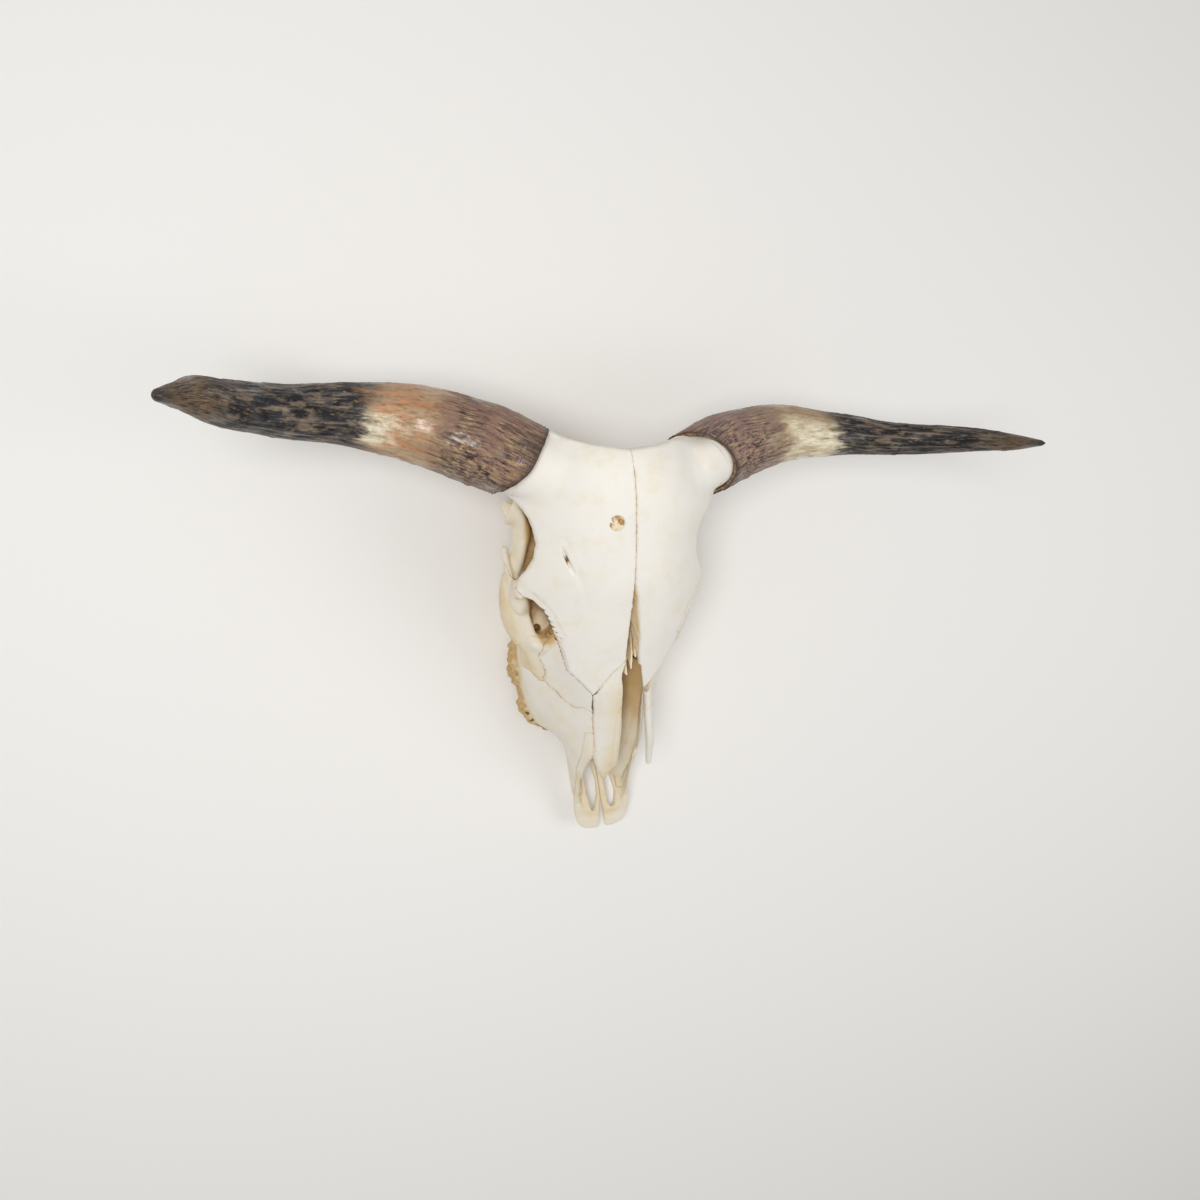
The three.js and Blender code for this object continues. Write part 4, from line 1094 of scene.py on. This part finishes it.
class Paint:
    """A material under construction."""

    def __init__(self, name):
        self.material = bpy.data.materials.new(name)
        self.material.use_nodes = True
        self.tree = self.material.node_tree
        self.tree.nodes.clear()
        self.output = self.tree.nodes.new("ShaderNodeOutputMaterial")

    def node(self, kind, settings=None, inputs=None):
        made = self.tree.nodes.new(kind)
        for key, value in (settings or {}).items():
            if key == "stops":
                self.set_stops(made.color_ramp, value)
            else:
                setattr(made, key, value)
        for key, value in (inputs or {}).items():
            if isinstance(value, Signal):
                self.tree.links.new(value.socket, made.inputs[key])
            else:
                made.inputs[key].default_value = value
        return made

    def set_stops(self, ramp, stops):
        while len(ramp.elements) < len(stops):
            ramp.elements.new(0.5)
        for element, (place, colour) in zip(ramp.elements, stops):
            element.position = place
            element.color = (*colour, 1)

    def mark(self, name):
        """A mark kept on the mesh's points."""
        return Signal(self, self.node("ShaderNodeAttribute", {"attribute_name": name}).outputs["Fac"])

    def place(self):
        """Where a point is, in metres."""
        return Signal(self, self.node("ShaderNodeTexCoord").outputs["Object"])

    def vector(self, x, y, z):
        return Signal(self, self.node("ShaderNodeCombineXYZ", {}, {0: x, 1: y, 2: z}).outputs[0])

    def grain(self, vector, scale, detail=4.0, rough_part=0.6):
        node = self.node("ShaderNodeTexNoise", {}, {"Vector": vector, "Scale": scale, "Detail": detail,
                                                   "Roughness": rough_part})
        return Signal(self, node.outputs[0])

    def cells(self, vector, scale):
        node = self.node("ShaderNodeTexVoronoi", {}, {"Vector": vector, "Scale": scale})
        return Signal(self, node.outputs["Distance"])

    def mix(self, factor, first, second, blend="MIX"):
        """Two colours mixed by a factor."""
        node = self.tree.nodes.new("ShaderNodeMix")
        node.data_type = "RGBA"
        node.blend_type = blend
        node.clamp_factor = True
        for socket, value in ((node.inputs[0], factor), (node.inputs[6], first), (node.inputs[7], second)):
            if isinstance(value, Signal):
                self.tree.links.new(value.socket, socket)
            elif isinstance(value, tuple):
                socket.default_value = (*value, 1)
            else:
                socket.default_value = value
        return Signal(self, node.outputs[2])

    def ramp(self, factor, stops):
        node = self.node("ShaderNodeValToRGB", {"stops": stops}, {"Fac": factor})
        return Signal(self, node.outputs[0])

    def finish(self, colour, roughness, bump, strength, distance, coat=0.0, specular=0.5):
        raised = self.node("ShaderNodeBump", {}, {"Strength": strength, "Distance": distance, "Height": bump})
        surface = self.node("ShaderNodeBsdfPrincipled", {}, {
            "Base Color": colour, "Roughness": roughness, "Normal": Signal(self, raised.outputs[0]),
            "Coat Weight": coat, "Coat Roughness": 0.22, "Specular IOR Level": specular})
        self.tree.links.new(surface.outputs[0], self.output.inputs[0])
        return self.material


WHITE_BONE = (0.90, 0.875, 0.82)
CREAM_BONE = (0.84, 0.74, 0.55)
OCHRE_BONE = (0.64, 0.43, 0.19)
# The colour of painted shade deep in hollows, holes and the slit.
BROWN_SHADE = (0.20, 0.10, 0.035)
COOL_BONE = (0.76, 0.77, 0.78)
SOCKET_CRUST = (0.42, 0.30, 0.14)
SEAM_TAN = (0.66, 0.46, 0.24)
SPECK_TAN = (0.55, 0.43, 0.27)


def bone_paint(name, cool, warmth):
    """Bleached bone with cool and cream patches and pits, stained and given painted shade where the marks
    call for it.
    """
    paint = Paint(name)
    where = paint.place()
    broad = paint.grain(where, 14, 3)
    patchy = paint.grain(where, 45, 5, 0.65)
    fine = paint.grain(where, 420, 4, 0.7)
    pits = paint.cells(where, 520)
    ochre, dark = paint.mark("ochre"), paint.mark("dark")
    seam, crust = paint.mark("seam"), paint.mark("crust")
    colour = paint.mix(broad.between(0.42, 0.70) * cool, WHITE_BONE, COOL_BONE)
    colour = paint.mix((patchy.between(0.46, 0.75) * 0.35 + warmth + fine.between(0.5, 0.9) * 0.15).clamped(),
                       colour, CREAM_BONE)
    # Real stains and painted shade together, from the ochre mark.
    stain_and_shade = (ochre + (patchy - 0.5) * 0.55).clamped()
    colour = paint.mix(stain_and_shade.between(0.03, 0.55), colour, CREAM_BONE)
    colour = paint.mix(stain_and_shade.between(0.42, 1.0), colour, OCHRE_BONE)
    crusted = (crust * paint.grain(where, 160, 3).between(0.35, 0.65)).clamped()
    colour = paint.mix(crusted * 0.7, colour, SOCKET_CRUST)
    # Painted shade: brown where the dark mark lies, deep in hollows and in holes.
    colour = paint.mix((dark * patchy.between(0.2, 0.6)).clamped(), colour, BROWN_SHADE)
    in_seam = (seam * paint.grain(where, 240, 3).between(0.30, 0.62)).clamped()
    colour = paint.mix(in_seam * 0.6, colour, SEAM_TAN)
    speck = (1 - pits.between(0.05, 0.22)) * paint.grain(where, 60, 2).between(0.5, 0.7)
    colour = paint.mix(speck * 0.35, colour, SPECK_TAN)
    height = fine * 0.5 + patchy * 0.6 + pits.between(0.0, 0.3) * 0.35 + paint.grain(where, 900, 2) * 0.25
    return paint.finish(colour, (0.56 + fine * 0.22).clamped(), height, 0.32, 0.0012)


def horn_paint(name, base_tones, warm, warm_from, patch_from, patch_to, patch_back, patch_front):
    """Keratin: mauve-brown and fibrous at the base, then tan with a cream patch, then streaked blue-black."""
    paint = Paint(name)
    way, up, back = paint.mark("way"), paint.mark("up"), paint.mark("back")
    rim, flake, inside = paint.mark("rim"), paint.mark("flake"), paint.mark("inside")
    stretched = lambda run, turn=0.03: paint.vector(way * run, up * turn, back * turn)
    fibres = paint.grain(stretched(0.035), 700, 5, 0.7)
    streaks = paint.grain(stretched(0.05), 170, 5, 0.65)
    blotch = paint.grain(stretched(0.30), 42, 4, 0.6)
    flecks = paint.grain(stretched(0.10), 430, 5, 0.75)
    threads = paint.grain(stretched(0.02, 0.04), 900, 3, 0.8)
    crackle = paint.grain(stretched(0.35, 0.05), 120, 4, 0.7)
    place = way + (blotch - 0.5) * 0.16 + (streaks - 0.5) * 0.22
    deep, brown, mauve, gold = base_tones
    base = paint.ramp(fibres.between(0.28, 0.72), [(0.0, deep), (0.30, brown), (0.6, mauve), (1.0, gold)])
    base = paint.mix((0.52 - blotch).between(-0.02, 0.10) * 0.7, base, mauve)
    lower = (0.15 - back + (blotch - 0.5) * 1.6).between(-0.35, 0.55)
    golden = flecks.between(0.52, 0.62) * crackle.between(0.40, 0.60)
    base = paint.mix(golden * (0.25 + lower * 0.7), base, gold)
    base = paint.mix((0.50 - flecks).between(0.0, 0.07) * (0.22 + lower * 0.62), base, deep)
    base = paint.mix(blotch.between(0.56, 0.64) * 0.45, base, brown)
    base = paint.mix(threads.between(0.58, 0.70) * 0.45, base, (0.42, 0.34, 0.24))
    pale = paint.mix(streaks.between(0.35, 0.65), warm, (0.50, 0.36, 0.22))
    pale = paint.mix(flecks.between(0.5, 0.66) * 0.55, pale, (0.20, 0.125, 0.085))
    pale = paint.mix(threads.between(0.56, 0.68) * 0.4, pale, (0.64, 0.50, 0.36))
    stops = [(0.0, (0.002, 0.003, 0.005)), (0.45, (0.007, 0.009, 0.015)), (0.8, (0.060, 0.052, 0.050)),
             (1.0, (0.24, 0.18, 0.13))]
    black = paint.ramp(streaks.between(0.36, 0.66), stops)
    flaky = flecks.between(0.53, 0.64) * crackle.between(0.44, 0.60)
    black = paint.mix(flaky * 0.9, black, (0.40, 0.28, 0.18))
    black = paint.mix(threads.between(0.60, 0.70) * 0.35, black, (0.30, 0.30, 0.32))
    tip = paint.mix(flecks.between(0.44, 0.58), (0.012, 0.009, 0.008), (0.25, 0.18, 0.11))
    tip = paint.mix(crackle.between(0.52, 0.62) * 0.6, tip, (0.27, 0.11, 0.045))
    cream = paint.mix(streaks.between(0.42, 0.66), (0.90, 0.83, 0.64), (0.58, 0.45, 0.24))
    cream = paint.mix(threads.between(0.56, 0.68) * 0.5, cream, (0.92, 0.89, 0.82))
    colour = paint.mix(place.between(warm_from, warm_from + 0.10) * 0.85, base, pale)
    colour = paint.mix(place.between(patch_to - 0.05, patch_to + 0.05), colour, black)
    low = (patch_back - back + (blotch - 0.5) * 0.9 + (streaks - 0.5) * 1.1).between(-0.25, 0.35)
    low = low * (back + patch_front).between(0.0, 0.25)
    past_start = place.between(patch_from - 0.03, patch_from + 0.04)
    past_end = place.between(patch_to - 0.01, patch_to + 0.06)
    patch = past_start * (1 - past_end) * low
    colour = paint.mix(patch, colour, cream)
    colour = paint.mix(place.between(0.78, 0.88) * 0.9, colour, tip)
    colour = paint.mix(place.between(0.965, 0.99) * 0.8, colour, (0.022, 0.021, 0.024))
    colour = paint.mix((flake * 0.5).clamped(), colour, (0.36, 0.27, 0.18))
    colour = paint.mix((rim * (0.6 + crackle)).clamped() * 0.9, colour, (0.045, 0.028, 0.018))
    crust = paint.mix(crackle.between(0.40, 0.62), (0.42, 0.29, 0.14), (0.12, 0.07, 0.03))
    colour = paint.mix(inside, colour, crust)
    height = fibres * 0.6 + flecks.between(0.45, 0.75) * 0.8 + streaks * 0.5 + threads * 0.35 + flaky * 0.6
    gloss = (0.34 + fibres * 0.16 + flecks.between(0.5, 0.7) * 0.24 + inside * 0.4).clamped()
    coat = (blotch.between(0.46, 0.66) * 0.9 + 0.05) * (1 - flaky)
    return paint.finish(colour, gloss, height, 0.6, 0.0012, coat, 0.3)


def floor_paint():
    paint = Paint("pale_floor")
    soft = paint.grain(paint.place(), 3, 2)
    colour = paint.mix(soft * 0.1, (0.94, 0.935, 0.925), (0.91, 0.905, 0.895))
    return paint.finish(colour, 0.8, soft, 0.02, 0.0005)


# ---- Putting the skull together ----

whole, snout, cavity = carve_skull()
carve_fissures(whole)
for side in (RIGHT, LEFT):
    whole.cut(sheath_wall_room(side), 0.5)
whole.cut(Shape((-120, -10, -10), (120, 500, 0), lambda x, y, z: z + 0 * x + 0 * y), 0)

# Blurred occupancy of the skull, for the staining and painted shade of hollows.
crowded, coarse = Field((0, 0, 0), (1, 1, 1)), Field((0, 0, 0), (1, 1, 1))
crowded.low = coarse.low = whole.low
crowded.values, coarse.values = blurred(whole.values, 4.0), blurred(whole.values, 11.0)
cavity_field = Field((-60, 10, 20), (60, 340, 200))
cavity_field.add(cavity)

bones = part_bones(whole, snout)
bones["nasal_left"] = displaced_nasal()
paints = {
    "bleached_bone": bone_paint("bleached_bone", 0.25, 0.0),
    "face_bone": bone_paint("face_bone", 0.40, 0.12),
    "aged_bone": bone_paint("aged_bone", 0.2, 0.25),
}
record_slots = {entry["node"]: entry["material_slot"] for entry in frame["record"]["subparts"]}
for node, field in bones.items():
    points, faces = skin_of(field)
    marks = bone_marks(node, points, crowded, coarse, cavity_field)
    piece = make_mesh(f"{node}_bone", shrink_to_frame(points), faces, marks)
    slot = record_slots[node]
    piece.data.materials.append(paints[slot])
    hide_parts(node)
    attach(piece, "root")

horn_paints = {
    RIGHT: horn_paint("horn_right", ((0.010, 0.005, 0.005), (0.085, 0.048, 0.034), (0.30, 0.17, 0.135),
                                     (0.62, 0.46, 0.21)), (0.62, 0.28, 0.12), 0.19, 0.325, 0.395, 0.20, 0.95),
    LEFT: horn_paint("horn_left", ((0.014, 0.007, 0.007), (0.095, 0.056, 0.046), (0.33, 0.20, 0.18),
                                   (0.60, 0.45, 0.22)), (0.46, 0.31, 0.17), 0.17, 0.245, 0.38, 0.20, 1.4),
}
for side in (RIGHT, LEFT):
    horn = horn_sheath(side)
    horn.data.materials.append(horn_paints[side])
    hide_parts(f"horn_sheath_{SIDE_NAMES[side]}")
    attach(horn, "root")


# ---- Floor, light and camera ----

def area_light(name, place, target, size, power, colour=(1, 1, 1)):
    light = bpy.data.lights.new(name, "AREA")
    light.shape = "DISK"
    light.size, light.energy, light.color = size, power, colour
    lamp = bpy.data.objects.new(name, light)
    lamp.location = place
    lamp.rotation_euler = (Vector(target) - Vector(place)).to_track_quat("-Z", "Y").to_euler()
    bpy.context.scene.collection.objects.link(lamp)


bpy.ops.mesh.primitive_plane_add(size=12, location=(0, 0, -0.0005))
floor = bpy.context.active_object
floor.name = "studio_floor"
floor.data.materials.append(floor_paint())

world = bpy.data.worlds.new("studio")
bpy.context.scene.world = world
world.use_nodes = True
world.node_tree.nodes["Background"].inputs[0].default_value = (1.0, 0.985, 0.96, 1)
world.node_tree.nodes["Background"].inputs[1].default_value = 0.42
area_light("key", (-0.62, 0.34, 1.7), (0, 0.0, 0.1), 0.6, 14.0, (1.0, 0.985, 0.96))
area_light("fill", (1.3, -0.2, 1.5), (0, 0, 0.1), 1.2, 7, (1.0, 0.98, 0.95))

SENSOR_WIDTH = 36
FOCAL_LENGTH_PX = 1018.547
PICTURE_WIDTH_PX = 1200
VIEW_ROWS = ((0.9556159707, -0.0595124277, 0.2885418296),
             (0.1192347837, 0.9737164764, -0.1940600165),
             (-0.2694089510, 0.2198510737, 0.9375949672))
VIEW_PLACE = Vector((-292.728, 532.422, 1111.827)) / 1000 - OFFSET
camera = bpy.data.objects.new("camera", bpy.data.cameras.new("camera"))
camera.matrix_world = Matrix.Translation(VIEW_PLACE) @ Matrix(VIEW_ROWS).transposed().to_4x4()
camera.data.sensor_width = SENSOR_WIDTH
camera.data.lens = SENSOR_WIDTH * FOCAL_LENGTH_PX / PICTURE_WIDTH_PX
bpy.context.scene.collection.objects.link(camera)
bpy.context.scene.camera = camera
bpy.context.scene.view_settings.view_transform = "Standard"
